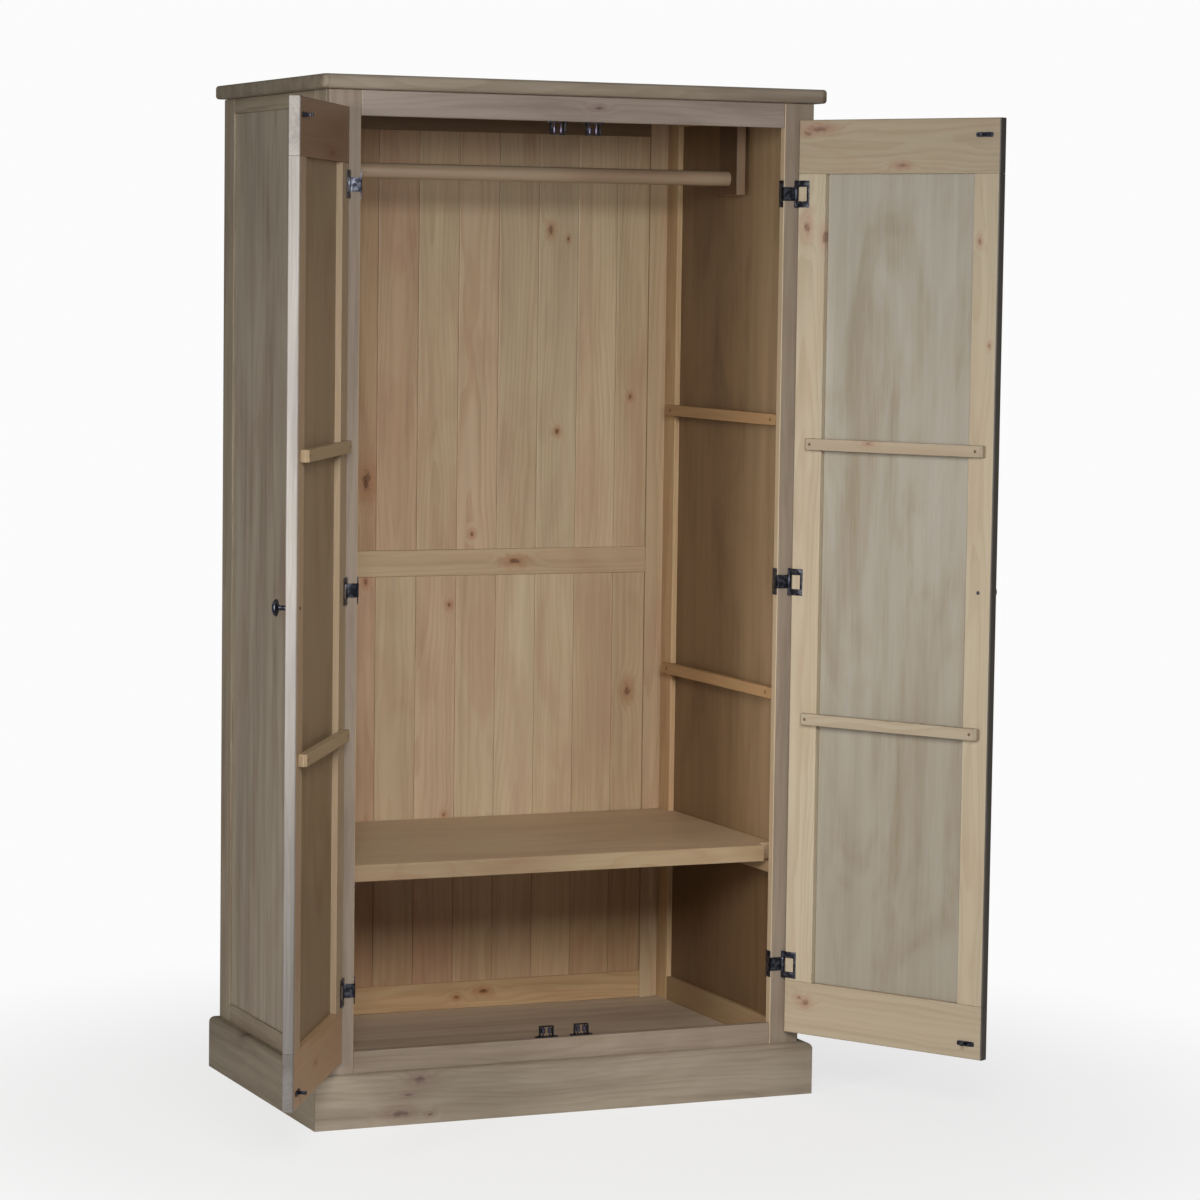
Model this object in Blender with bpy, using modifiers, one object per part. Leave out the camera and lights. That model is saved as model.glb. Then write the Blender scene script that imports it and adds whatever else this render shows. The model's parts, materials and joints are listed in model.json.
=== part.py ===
"""Double wardrobe in pine: carcass, T&G back, shelf, hanging rail and two framed doors.

Metres, +Z up.  The front faces -Y and +X is to the right of someone facing it.  The origin
is on the floor, in the middle of the underside of the front plinth board.  The doors stand
open against their stops.
"""
import math

import bmesh
import bpy

# ---------------------------------------------------------------- driving dimensions
GAP = 0.0003                     # clearance between pieces that touch

HEIGHT = 1.900                   # floor to the top of the top board
CARCASS_WIDTH = 0.958
CARCASS_DEPTH = 0.608

TOP_THICKNESS = 0.026
TOP_OVERHANG_FRONT = 0.021
TOP_OVERHANG_SIDE = 0.019
TOP_CORNER_RADIUS = 0.010        # seen from above
TOP_EDGE_RADIUS = 0.005

PLINTH_HEIGHT = 0.098
PLINTH_THICKNESS = 0.021
PLINTH_ROUND = 0.011             # round on the top outer edge

FACE_THICKNESS = 0.018
FACE_STILE_WIDTH = 0.060
FACE_TOP_RAIL_HEIGHT = 0.046
FACE_BOTTOM_RAIL_HEIGHT = 0.070
FACE_BOTTOM_RAIL_TOP = 0.1375    # floor to the lower edge of the door opening

SIDE_THICKNESS = 0.0295
SIDE_FRONT_STILE_WIDTH = 0.060
SIDE_REAR_STILE_WIDTH = 0.060
SIDE_TOP_RAIL_HEIGHT = 0.028
SIDE_BOTTOM_RAIL_HEIGHT = 0.132
SIDE_PANEL_THICKNESS = 0.0145
SIDE_PANEL_RECESS_INSIDE = 0.0105

BACK_THICKNESS = 0.020
BACK_STILE_WIDTH = 0.030         # face width, beside the shadow groove
BACK_GROOVE_WIDTH = 0.0115
BACK_GROOVE_DEPTH = 0.010
BACK_TOP_RAIL_HEIGHT = 0.048
BACK_MID_RAIL_BOTTOM = 0.953
BACK_MID_RAIL_HEIGHT = 0.0515
BACK_BOTTOM_RAIL_FACE = 0.054    # shows above the floor board
BACK_BOARD_RECESS = 0.003
BACK_BOARD_THICKNESS = 0.010
BACK_BOARD_PITCH = 0.0845
BACK_V_GROOVE = 0.0016           # depth and half width of the groove between boards

FLOOR_TOP = 0.085
FLOOR_THICKNESS = 0.018

SHELF_TOP = 0.471
SHELF_THICKNESS = 0.031
SHELF_SETBACK = 0.050            # behind the front of the face frame
SHELF_LIP_MARGIN = 0.023         # from the side frame to the end of the front edge

CLEAT_HEIGHT = 0.0215
CLEAT_WIDTH = 0.015
CLEAT_LAP = 0.030                # length along the front and the rear stile
CLEAT_SINK = 0.0005              # let into the side frame, so the two are one piece

BATTEN_HEIGHT = 0.0215
BATTEN_THICKNESS = 0.015
SIDE_BATTEN_HEIGHTS = (1.281, 0.7615)
SIDE_BATTEN_FRONT = 0.0535       # behind the front of the face frame
SIDE_BATTEN_REAR = 0.050         # in front of the back of the carcass

RAIL_DIAMETER = 0.029
RAIL_DROP = 0.136                # top board to the middle of the rail
RAIL_SETBACK = 0.272             # behind the front of the face frame
RAIL_SOCKET_DEPTH = 0.008
RAIL_SOCKET_CLEARANCE = 0.0004
BRACKET_THICKNESS = 0.019
BRACKET_DEPTH = 0.078
BRACKET_BELOW_RAIL = 0.0315      # rail centre to the bottom of the bracket

DOOR_OPEN_ANGLE = math.radians(120.5)
DOOR_THICKNESS = 0.020
DOOR_OVERLAY_SIDE = 0.018
DOOR_OVERLAY_TOP = 0.015
DOOR_OVERLAY_BOTTOM = 0.0165
DOOR_MEETING_GAP = 0.003
DOOR_EDGE_ROUND = 0.003
DOOR_STOP_CLEARANCE = 0.0004     # left between the open door's edge and the face frame
DOOR_HINGE_STILE = 0.061
DOOR_FREE_STILE = 0.054
DOOR_RAIL = 0.100
DOOR_PANEL_THICKNESS = 0.006
DOOR_PANEL_RECESS_INSIDE = 0.011
DOOR_BATTEN_HEIGHTS = (1.240, 0.723)
DOOR_BATTEN_LAP_HINGE = 0.029    # lap onto the hinge stile
DOOR_BATTEN_LAP_FREE = 0.0355    # lap onto the free stile

HINGE_BELOW_DOOR_TOP = 0.1375    # to the middle of the top hinge
HINGE_ABOVE_DOOR_BOTTOM = 0.1295
HINGE_MIDDLE = 0.979             # height of the middle hinge
HINGE_HEIGHT = 0.050
HINGE_SHEET = 0.0016
HINGE_BARREL_RADIUS = 0.0035
HINGE_STEM_HEIGHT = 0.0255
HINGE_BAR = 0.0048               # the upright of the door leaf
HINGE_PLAY = 0.0005
HINGE_PIN_RADIUS = 0.0014
HINGE_PIN_CLEARANCE = 0.0004

CATCH_WIDTH = 0.045
CATCH_DEPTH = 0.012
CATCH_SHEET = 0.0015
CATCH_FROM_MIDDLE = 0.035
CATCH_SETBACK = 0.012            # middle of the rollers, behind the front of the face frame
CATCH_CHEEK_SPACING = 0.026
CATCH_CHEEK_DEPTH = 0.009
CATCH_CAP_DEPTH = 0.010
CATCH_ROLLER_RADIUS = 0.0035
CATCH_ROLLER_HEIGHT = 0.010
CATCH_ROLLER_GAP = 0.0062
CATCH_AXLE_RADIUS = 0.0012
CATCH_CAP_CLEARANCE = 0.0025     # roller to the cap
CATCH_DROP_TOP = 0.0155          # top rail to the middle of the rollers
CATCH_RISE_BOTTOM = 0.012        # bottom rail to the middle of the rollers

STRIKE_WIDTH = 0.036
STRIKE_HEIGHT = 0.009
STRIKE_SHEET = 0.0015
STRIKE_NECK_WIDTH = 0.003
STRIKE_TONGUE_HEIGHT = 0.006
STRIKE_HEAD_RADIUS = 0.0026

KNOB_RADIUS = 0.015
KNOB_PROJECTION = 0.028
KNOB_CROWN = 0.004               # rise of the domed face
KNOB_RIM = 0.0015                # straight part of the rim
KNOB_UNDERSIDE_RADIUS = 0.012
KNOB_NECK_RADIUS = 0.0045
KNOB_NECK_TOP = 0.0155
KNOB_UNDERSIDE = 0.0185          # height of the underside above the door
KNOB_ROSE_RADIUS = 0.0075
KNOB_ROSE = 0.0015
KNOB_ROSE_FILLET = 0.002
KNOB_HEIGHT = 0.982
KNOB_FROM_FREE_EDGE = 0.0275
KNOB_CROWN_STEPS = 5

ROUND_STEPS = 24
BARREL_STEPS = 12
AXLE_STEPS = 8
WOOD_EDGE = 0.0012               # eased edge on the boards

# ---------------------------------------------------------------- derived places
HALF_WIDTH = CARCASS_WIDTH / 2
FRONT = PLINTH_THICKNESS / 2                     # front of the face frame
BACK = FRONT + CARCASS_DEPTH
TOP_UNDERSIDE = HEIGHT - TOP_THICKNESS
OPENING_HALF = HALF_WIDTH - FACE_STILE_WIDTH
OPENING_TOP = TOP_UNDERSIDE - FACE_TOP_RAIL_HEIGHT
OPENING_BOTTOM = FACE_BOTTOM_RAIL_TOP
FACE_BACK = FRONT + FACE_THICKNESS
SIDE_INNER = HALF_WIDTH - SIDE_THICKNESS
SIDE_FRONT = FACE_BACK + GAP
SIDE_PANEL_INNER = SIDE_INNER + SIDE_PANEL_RECESS_INSIDE
BACK_FRONT = BACK - BACK_THICKNESS
BACK_HALF = SIDE_INNER - GAP
BACK_STILE_OUTER = BACK_HALF - BACK_GROOVE_WIDTH
BACK_STILE_INNER = BACK_STILE_OUTER - BACK_STILE_WIDTH
BACK_FRAME_TOP = TOP_UNDERSIDE - GAP
BACK_FRAME_BOTTOM = FLOOR_TOP - FLOOR_THICKNESS
BRACKET_INNER = SIDE_INNER - GAP - BRACKET_THICKNESS

LEAF_BACK = FRONT - GAP                          # back of both hinge leaves, door shut
LEAF_FRONT = LEAF_BACK - HINGE_SHEET
DOOR_INNER = LEAF_FRONT - GAP                    # inner face of the door, shut
AXIS_Y = LEAF_BACK - HINGE_BARREL_RADIUS
DOOR_TOP = OPENING_TOP + DOOR_OVERLAY_TOP
DOOR_BOTTOM = OPENING_BOTTOM - DOOR_OVERLAY_BOTTOM
DOOR_IN = DOOR_INNER - AXIS_Y                    # depth from the pin to the inner face
DOOR_OUT = DOOR_IN - DOOR_THICKNESS
STOP_ROOM = FRONT - DOOR_STOP_CLEARANCE - AXIS_Y - DOOR_EDGE_ROUND
# the open door's rounded outer edge comes to rest against the face frame
DOOR_NEAR = ((math.cos(DOOR_OPEN_ANGLE) * (DOOR_OUT + DOOR_EDGE_ROUND) - STOP_ROOM)
             / math.sin(DOOR_OPEN_ANGLE) - DOOR_EDGE_ROUND)
AXIS_X = OPENING_HALF + DOOR_OVERLAY_SIDE + DOOR_NEAR
DOOR_FAR = AXIS_X - DOOR_MEETING_GAP / 2         # distances from the pin, across the door
PANEL_NEAR = DOOR_NEAR + DOOR_HINGE_STILE
PANEL_FAR = DOOR_FAR - DOOR_FREE_STILE
PANEL_TOP = DOOR_TOP - DOOR_RAIL
PANEL_BOTTOM = DOOR_BOTTOM + DOOR_RAIL
CATCH_TOP_Z = OPENING_TOP - CATCH_DROP_TOP
CATCH_BOTTOM_Z = OPENING_BOTTOM + CATCH_RISE_BOTTOM
RAIL_HEIGHT = TOP_UNDERSIDE - RAIL_DROP
HINGE_HEIGHTS = (DOOR_TOP - HINGE_BELOW_DOOR_TOP, HINGE_MIDDLE, DOOR_BOTTOM + HINGE_ABOVE_DOOR_BOTTOM)
HANDS = (("left", -1), ("right", 1))

# ---------------------------------------------------------------- scene and materials
for old in list(bpy.data.objects):
    bpy.data.objects.remove(old, do_unlink=True)

parts = bpy.data.collections.new("wardrobe")
cutters = bpy.data.collections.new("wardrobe_cutters")
bpy.context.scene.collection.children.link(parts)
bpy.context.scene.collection.children.link(cutters)


def material(name, colour, roughness, metallic=0.0):
    made = bpy.data.materials.new(name)
    made.use_nodes = True
    shader = made.node_tree.nodes["Principled BSDF"]
    shader.inputs["Base Color"].default_value = (*colour, 1.0)
    shader.inputs["Roughness"].default_value = roughness
    shader.inputs["Metallic"].default_value = metallic
    return made


LIMED_PINE = material("limed_pine", (0.262, 0.217, 0.162), 0.62)
PLAIN_PINE = material("plain_pine", (0.376, 0.263, 0.156), 0.58)
GREY_PLY = material("grey_ply", (0.352, 0.305, 0.223), 0.66)
DARK_PLY = material("brown_ply", (0.168, 0.103, 0.055), 0.64)
DARK_IRON = material("dark_iron", (0.018, 0.020, 0.028), 0.38, 0.85)


# ---------------------------------------------------------------- modelling helpers
def add(name, mesh, finish=None, parent=None, place=(0, 0, 0), turn=(0, 0, 0)):
    """An object in the part's collection, or a hidden cutter where it has no finish."""
    made = bpy.data.objects.new(name, mesh)
    if finish:
        made.data.materials.append(finish)
        parts.objects.link(made)
    else:
        cutters.objects.link(made)
        made.hide_render = True
        made.display_type = "WIRE"
    made.parent = parent
    made.location = place
    made.rotation_euler = turn
    return made


def box_mesh(name, size):
    shape = bmesh.new()
    bmesh.ops.create_cube(shape, size=1.0)
    bmesh.ops.scale(shape, vec=size, verts=shape.verts)
    mesh = bpy.data.meshes.new(name)
    shape.to_mesh(mesh)
    shape.free()
    return mesh


def box(name, low, high, finish=None, parent=None, edge=0.0, segments=1):
    """A block between two opposite corners, with eased edges."""
    size = [abs(b - a) for a, b in zip(low, high)]
    middle = [(a + b) / 2 for a, b in zip(low, high)]
    made = add(name, box_mesh(name, size), finish, parent, middle)
    if edge:
        ease(made, edge, segments)
    return made


def ease(piece, width, segments=1):
    bevel = piece.modifiers.new("eased edges", "BEVEL")
    bevel.width = width
    bevel.segments = segments
    bevel.limit_method = "ANGLE"
    bevel.angle_limit = math.radians(40)


def cylinder(name, radius, length, steps, finish=None, parent=None, place=(0, 0, 0), turn=(0, 0, 0)):
    """A rod along its own Z, centred on its place."""
    shape = bmesh.new()
    bmesh.ops.create_cone(shape, cap_ends=True, cap_tris=False, segments=steps,
                          radius1=radius, radius2=radius, depth=length)
    mesh = bpy.data.meshes.new(name)
    shape.to_mesh(mesh)
    shape.free()
    mesh.shade_smooth()
    mesh.set_sharp_from_angle(angle=math.radians(40))
    return add(name, mesh, finish, parent, place, turn)


def slab(name, outline, low, high, finish):
    """A flat outline in X and Y, raised from one height to another."""
    curve = bpy.data.curves.new(name, "CURVE")
    curve.dimensions = "2D"
    curve.fill_mode = "BOTH"
    curve.extrude = (high - low) / 2
    spline = curve.splines.new("POLY")
    spline.points.add(len(outline) - 1)
    for point, (x, y) in zip(spline.points, outline):
        point.co = (x, y, 0.0, 1.0)
    spline.use_cyclic_u = True
    return add(name, curve, finish, place=(0, 0, (low + high) / 2))


def boolean(piece, other, operation):
    step = piece.modifiers.new(operation.lower(), "BOOLEAN")
    step.operation = operation
    step.solver = "EXACT"
    step.object = other


def cut(piece, other):
    boolean(piece, other, "DIFFERENCE")


def join(piece, other):
    boolean(piece, other, "UNION")


# ---------------------------------------------------------------- top board and plinth
def rounded_edges(shape, edges, radius, segments):
    bmesh.ops.bevel(shape, geom=edges, offset=radius, offset_type="OFFSET", segments=segments,
                    profile=0.5, affect="EDGES", clamp_overlap=True, material=-1)


def top_board():
    low = (-HALF_WIDTH - TOP_OVERHANG_SIDE, FRONT - TOP_OVERHANG_FRONT, TOP_UNDERSIDE + GAP)
    high = (HALF_WIDTH + TOP_OVERHANG_SIDE, BACK, HEIGHT)
    mesh = box_mesh("top_board", [b - a for a, b in zip(low, high)])
    shape = bmesh.new()
    shape.from_mesh(mesh)
    front = min(v.co.y for v in shape.verts)
    uprights = [e for e in shape.edges
                if abs(e.verts[0].co.z - e.verts[1].co.z) > TOP_THICKNESS / 2
                and e.verts[0].co.y < front + GAP]
    rounded_edges(shape, uprights, TOP_CORNER_RADIUS, 3)
    shape.to_mesh(mesh)
    shape.free()
    board = add("top_board", mesh, LIMED_PINE, place=[(a + b) / 2 for a, b in zip(low, high)])
    ease(board, TOP_EDGE_RADIUS, 3)


def plinth_board(name, outer_low, outer_high, inner_low, inner_high, finish):
    """A plinth board from the plan of its outer and inner faces, rounded along the top outside."""
    shape = bmesh.new()
    bmesh.ops.create_cube(shape, size=1.0)
    corners = {(-1, -1): outer_low, (1, -1): outer_high, (-1, 1): inner_low, (1, 1): inner_high}
    for vert in shape.verts:
        key = (int(math.copysign(1, vert.co.x)), int(math.copysign(1, vert.co.y)))
        height = PLINTH_HEIGHT if vert.co.z > 0 else 0.0
        vert.co = (*corners[key], height)
    bmesh.ops.recalc_face_normals(shape, faces=shape.faces)
    outer = {tuple(round(c, 6) for c in outer_low), tuple(round(c, 6) for c in outer_high)}
    edges = [e for e in shape.edges
             if all(v.co.z > GAP and (round(v.co.x, 6), round(v.co.y, 6)) in outer for v in e.verts)]
    rounded_edges(shape, edges, PLINTH_ROUND, 4)
    mesh = bpy.data.meshes.new(name)
    shape.to_mesh(mesh)
    shape.free()
    add(name, mesh, finish)


def plinth():
    """Front and side boards, mitred at the front corners."""
    inner_x = HALF_WIDTH + GAP
    outer_x = inner_x + PLINTH_THICKNESS
    inner_y = FRONT - GAP
    outer_y = inner_y - PLINTH_THICKNESS
    plinth_board("plinth_front", (-outer_x + GAP, outer_y), (outer_x - GAP, outer_y),
                 (-inner_x + GAP, inner_y), (inner_x - GAP, inner_y), LIMED_PINE)
    for label, hand in HANDS:
        plinth_board("plinth_" + label,
                     (hand * outer_x, outer_y + GAP), (hand * outer_x, BACK),
                     (hand * inner_x, inner_y + GAP), (hand * inner_x, BACK), LIMED_PINE)


# ---------------------------------------------------------------- face frame
def face_frame():
    for label, hand in HANDS:
        box("face_stile_" + label, (hand * OPENING_HALF, FRONT, 0.0),
            (hand * HALF_WIDTH, FACE_BACK, TOP_UNDERSIDE), LIMED_PINE, edge=WOOD_EDGE)
    half = OPENING_HALF - GAP
    box("face_rail_top", (-half, FRONT, OPENING_TOP), (half, FACE_BACK, TOP_UNDERSIDE),
        LIMED_PINE, edge=WOOD_EDGE)
    box("face_rail_bottom", (-half, FRONT, OPENING_BOTTOM - FACE_BOTTOM_RAIL_HEIGHT),
        (half, FACE_BACK, OPENING_BOTTOM), LIMED_PINE, edge=WOOD_EDGE)


# ---------------------------------------------------------------- sides
def framed_side(label, hand):
    """A framed side: the frame carries the cleat under the shelf, and holds the panel."""
    frame = box("side_frame_" + label, (hand * SIDE_INNER, SIDE_FRONT, 0.0),
                (hand * HALF_WIDTH, BACK, TOP_UNDERSIDE), LIMED_PINE)
    window_front = SIDE_FRONT + SIDE_FRONT_STILE_WIDTH
    window_rear = BACK - SIDE_REAR_STILE_WIDTH
    window_top = TOP_UNDERSIDE - SIDE_TOP_RAIL_HEIGHT
    cut(frame, box("side_window_" + label,
                   (hand * (SIDE_INNER - SIDE_THICKNESS), window_front, SIDE_BOTTOM_RAIL_HEIGHT),
                   (hand * (HALF_WIDTH + SIDE_THICKNESS), window_rear, window_top)))
    cleat_top = SHELF_TOP - SHELF_THICKNESS - GAP
    join(frame, box("shelf_cleat_" + label,
                    (hand * (SIDE_INNER - CLEAT_WIDTH), window_front - CLEAT_LAP,
                     cleat_top - CLEAT_HEIGHT),
                    (hand * (SIDE_INNER + CLEAT_SINK), window_rear + CLEAT_LAP, cleat_top)))
    box("side_panel_" + label,
        (hand * SIDE_PANEL_INNER, window_front + GAP, SIDE_BOTTOM_RAIL_HEIGHT + GAP),
        (hand * (SIDE_PANEL_INNER + SIDE_PANEL_THICKNESS), window_rear - GAP, window_top - GAP),
        DARK_PLY, edge=WOOD_EDGE)
    for level, height in zip(("upper", "lower"), SIDE_BATTEN_HEIGHTS):
        box(f"side_batten_{level}_{label}",
            (hand * (SIDE_INNER - GAP - BATTEN_THICKNESS), FRONT + SIDE_BATTEN_FRONT,
             height - BATTEN_HEIGHT / 2),
            (hand * (SIDE_INNER - GAP), BACK - SIDE_BATTEN_REAR, height + BATTEN_HEIGHT / 2),
            PLAIN_PINE, edge=WOOD_EDGE)


# ---------------------------------------------------------------- back
def back_board_outline():
    """Plan of the boards: a straight back, and a V groove in front at every joint."""
    half = BACK_STILE_INNER - GAP
    front = BACK_FRONT + BACK_BOARD_RECESS
    rear = front + BACK_BOARD_THICKNESS
    joints_each_way = int((half - BACK_V_GROOVE) / BACK_BOARD_PITCH)
    outline = [(half, front), (half, rear), (-half, rear), (-half, front)]
    for number in range(-joints_each_way, joints_each_way + 1):
        x = number * BACK_BOARD_PITCH
        outline += [(x - BACK_V_GROOVE, front), (x, front + BACK_V_GROOVE), (x + BACK_V_GROOVE, front)]
    return outline


def back():
    frame = box("back_frame", (-BACK_HALF, BACK_FRONT, BACK_FRAME_BOTTOM),
                (BACK_HALF, BACK, BACK_FRAME_TOP), PLAIN_PINE)
    bays = {"upper": (BACK_MID_RAIL_BOTTOM + BACK_MID_RAIL_HEIGHT, BACK_FRAME_TOP - BACK_TOP_RAIL_HEIGHT),
            "lower": (FLOOR_TOP + BACK_BOTTOM_RAIL_FACE, BACK_MID_RAIL_BOTTOM)}
    for level, (low, high) in bays.items():
        cut(frame, box("back_window_" + level, (-BACK_STILE_INNER, BACK_FRONT - BACK_THICKNESS, low),
                       (BACK_STILE_INNER, BACK + BACK_THICKNESS, high)))
        slab("back_boards_" + level, back_board_outline(), low + GAP, high - GAP, PLAIN_PINE)
    for label, hand in HANDS:
        cut(frame, box("back_groove_" + label,
                       (hand * BACK_STILE_OUTER, BACK_FRONT - BACK_GROOVE_DEPTH, 0.0),
                       (hand * HALF_WIDTH, BACK_FRONT + BACK_GROOVE_DEPTH, HEIGHT)))
    floor_slot = FLOOR_TOP + GAP
    cut(frame, box("back_floor_rebate", (-HALF_WIDTH, BACK_FRONT - BACK_GROOVE_DEPTH, 0.0),
                   (HALF_WIDTH, BACK_FRONT + BACK_GROOVE_DEPTH, floor_slot)))


# ---------------------------------------------------------------- floor board and shelf
def floor_board():
    box("floor_board", (-SIDE_INNER + GAP, FACE_BACK + GAP, FLOOR_TOP - FLOOR_THICKNESS),
        (SIDE_INNER - GAP, BACK_FRONT + BACK_GROOVE_DEPTH - GAP, FLOOR_TOP), LIMED_PINE)


def shelf():
    """The shelf runs between the side panels, cut back round the stiles of the sides."""
    front = FRONT + SHELF_SETBACK
    front_stile = SIDE_FRONT + SIDE_FRONT_STILE_WIDTH + GAP
    rear_stile = BACK - SIDE_REAR_STILE_WIDTH - GAP
    rear = BACK_FRONT - GAP
    lip = SIDE_INNER - SHELF_LIP_MARGIN
    inner = SIDE_INNER - GAP
    panel = SIDE_PANEL_INNER - GAP
    right = [(lip, front), (lip, front_stile), (panel, front_stile),
             (panel, rear_stile), (inner, rear_stile), (inner, rear)]
    left = [(-x, y) for x, y in reversed(right)]
    slab("shelf", right + left, SHELF_TOP - SHELF_THICKNESS, SHELF_TOP, PLAIN_PINE)


# ---------------------------------------------------------------- hanging rail
def hanging_rail():
    y = FRONT + RAIL_SETBACK
    half = BRACKET_INNER + RAIL_SOCKET_DEPTH - RAIL_SOCKET_CLEARANCE
    rail = cylinder("hanging_rail", RAIL_DIAMETER / 2, 2 * half, ROUND_STEPS, PLAIN_PINE,
                    place=(0, y, RAIL_HEIGHT), turn=(0, math.pi / 2, 0))
    ease(rail, WOOD_EDGE)
    for label, hand in HANDS:
        bracket = box("rail_bracket_" + label,
                      (hand * BRACKET_INNER, y - BRACKET_DEPTH / 2, RAIL_HEIGHT - BRACKET_BELOW_RAIL),
                      (hand * (SIDE_INNER - GAP), y + BRACKET_DEPTH / 2, TOP_UNDERSIDE - GAP),
                      PLAIN_PINE, edge=WOOD_EDGE)
        socket = cylinder("rail_socket_" + label, RAIL_DIAMETER / 2 + RAIL_SOCKET_CLEARANCE,
                          2 * RAIL_SOCKET_DEPTH, ROUND_STEPS,
                          place=(hand * BRACKET_INNER, y, RAIL_HEIGHT), turn=(0, math.pi / 2, 0))
        cut(bracket, socket)


# ---------------------------------------------------------------- doors
class Door:
    """One leaf, modelled shut about its pin, then turned open by its parent empty.

    Places are given as distance from the pin across the door, depth and height.
    """

    def __init__(self, label, hand):
        self.label = label
        self.hand = hand
        self.pin = bpy.data.objects.new(f"door_pin_{label}", None)
        self.pin.location = (hand * AXIS_X, AXIS_Y, 0.0)
        self.pin.rotation_euler = (0, 0, hand * DOOR_OPEN_ANGLE)
        parts.objects.link(self.pin)

    def at(self, across, depth, height):
        return (-self.hand * across, depth, height)

    def box(self, name, low, high, finish=None, edge=0.0, segments=1):
        return box(f"{name}_{self.label}", self.at(*low), self.at(*high), finish, self.pin, edge, segments)

    def cylinder(self, name, radius, length, steps, place, finish=None, turn=(0, 0, 0)):
        return cylinder(f"{name}_{self.label}", radius, length, steps, finish, self.pin,
                        self.at(*place), turn)

    def board(self, name, low, high):
        """A board of the door's frame; beside the pin its outer edge is rounded."""
        made = self.box(name, low, high, LIMED_PINE)
        if low[0] == DOOR_NEAR:
            shape = bmesh.new()
            shape.from_mesh(made.data)
            rolled = [edge for edge in shape.edges
                      if all(vert.co.y < 0 < vert.co.x * self.hand for vert in edge.verts)]
            bmesh.ops.bevel(shape, geom=rolled, offset=DOOR_EDGE_ROUND, segments=3, profile=0.5,
                            affect="EDGES")
            shape.to_mesh(made.data)
            shape.free()
        ease(made, WOOD_EDGE)

    def frame(self):
        """The rails run the door's full width, and the stiles stand between them."""
        self.board("door_top_rail", (DOOR_NEAR, DOOR_OUT, PANEL_TOP), (DOOR_FAR, DOOR_IN, DOOR_TOP))
        self.board("door_bottom_rail", (DOOR_NEAR, DOOR_OUT, DOOR_BOTTOM), (DOOR_FAR, DOOR_IN, PANEL_BOTTOM))
        foot = PANEL_BOTTOM + GAP
        crown = PANEL_TOP - GAP
        self.board("door_hinge_stile", (DOOR_NEAR, DOOR_OUT, foot), (PANEL_NEAR, DOOR_IN, crown))
        self.board("door_free_stile", (PANEL_FAR, DOOR_OUT, foot), (DOOR_FAR, DOOR_IN, crown))
        near = PANEL_NEAR + GAP
        far = PANEL_FAR - GAP
        panel_in = DOOR_IN - DOOR_PANEL_RECESS_INSIDE
        self.box("door_panel", (near, panel_in - DOOR_PANEL_THICKNESS, PANEL_BOTTOM + GAP),
                 (far, panel_in, PANEL_TOP - GAP), GREY_PLY)

    def battens(self):
        face = DOOR_IN + GAP
        for level, height in zip(("upper", "lower"), DOOR_BATTEN_HEIGHTS):
            self.box("door_batten_" + level,
                     (PANEL_NEAR - DOOR_BATTEN_LAP_HINGE, face, height - BATTEN_HEIGHT / 2),
                     (PANEL_FAR + DOOR_BATTEN_LAP_FREE, face + BATTEN_THICKNESS, height + BATTEN_HEIGHT / 2),
                     PLAIN_PINE, WOOD_EDGE)

    def strikes(self):
        """Plates that meet the roller catches, each with a round-headed tongue."""
        across = AXIS_X - CATCH_FROM_MIDDLE
        face = DOOR_IN + GAP
        head = FRONT + CATCH_SETBACK - AXIS_Y
        half_plate = STRIKE_WIDTH / 2
        half_neck = STRIKE_NECK_WIDTH / 2
        for level, z in (("top", CATCH_TOP_Z), ("bottom", CATCH_BOTTOM_Z)):
            plate = self.box("strike_" + level, (across - half_plate, face, z - STRIKE_HEIGHT / 2),
                             (across + half_plate, face + STRIKE_SHEET, z + STRIKE_HEIGHT / 2), DARK_IRON)
            join(plate, self.box("strike_neck_" + level,
                                 (across - half_neck, face + GAP, z - STRIKE_TONGUE_HEIGHT / 2),
                                 (across + half_neck, head, z + STRIKE_TONGUE_HEIGHT / 2)))
            join(plate, self.cylinder("strike_head_" + level, STRIKE_HEAD_RADIUS,
                                      STRIKE_TONGUE_HEIGHT - GAP, BARREL_STEPS, (across, head, z)))

    def knob(self):
        """A turned mushroom knob on the outer face, its axis across the door's thickness."""
        profile = [(0.0, KNOB_PROJECTION)]
        for step in range(1, KNOB_CROWN_STEPS + 1):
            angle = step / KNOB_CROWN_STEPS * math.pi / 2
            profile.append((KNOB_RADIUS * math.sin(angle),
                            KNOB_PROJECTION - KNOB_CROWN * (1 - math.cos(angle))))
        profile += [(KNOB_RADIUS, KNOB_PROJECTION - KNOB_CROWN - KNOB_RIM),
                    (KNOB_UNDERSIDE_RADIUS, KNOB_UNDERSIDE),
                    (KNOB_NECK_RADIUS, KNOB_NECK_TOP),
                    (KNOB_NECK_RADIUS, KNOB_ROSE + KNOB_ROSE_FILLET),
                    (KNOB_ROSE_RADIUS, KNOB_ROSE),
                    (KNOB_ROSE_RADIUS, 0.0),
                    (0.0, 0.0)]
        mesh = bpy.data.meshes.new("door_knob_" + self.label)
        edges = [(i, i + 1) for i in range(len(profile) - 1)]
        mesh.from_pydata([(r, 0.0, z) for r, z in profile], edges, [])
        knob = add("door_knob_" + self.label, mesh, DARK_IRON, self.pin,
                   self.at(DOOR_FAR - KNOB_FROM_FREE_EDGE, DOOR_OUT - GAP, KNOB_HEIGHT),
                   (math.pi / 2, 0, 0))
        turned = knob.modifiers.new("turned", "SCREW")
        turned.steps = ROUND_STEPS
        turned.render_steps = ROUND_STEPS
        turned.use_merge_vertices = True
        turned.merge_threshold = 0.0001
        turned.use_smooth_shade = True

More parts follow.
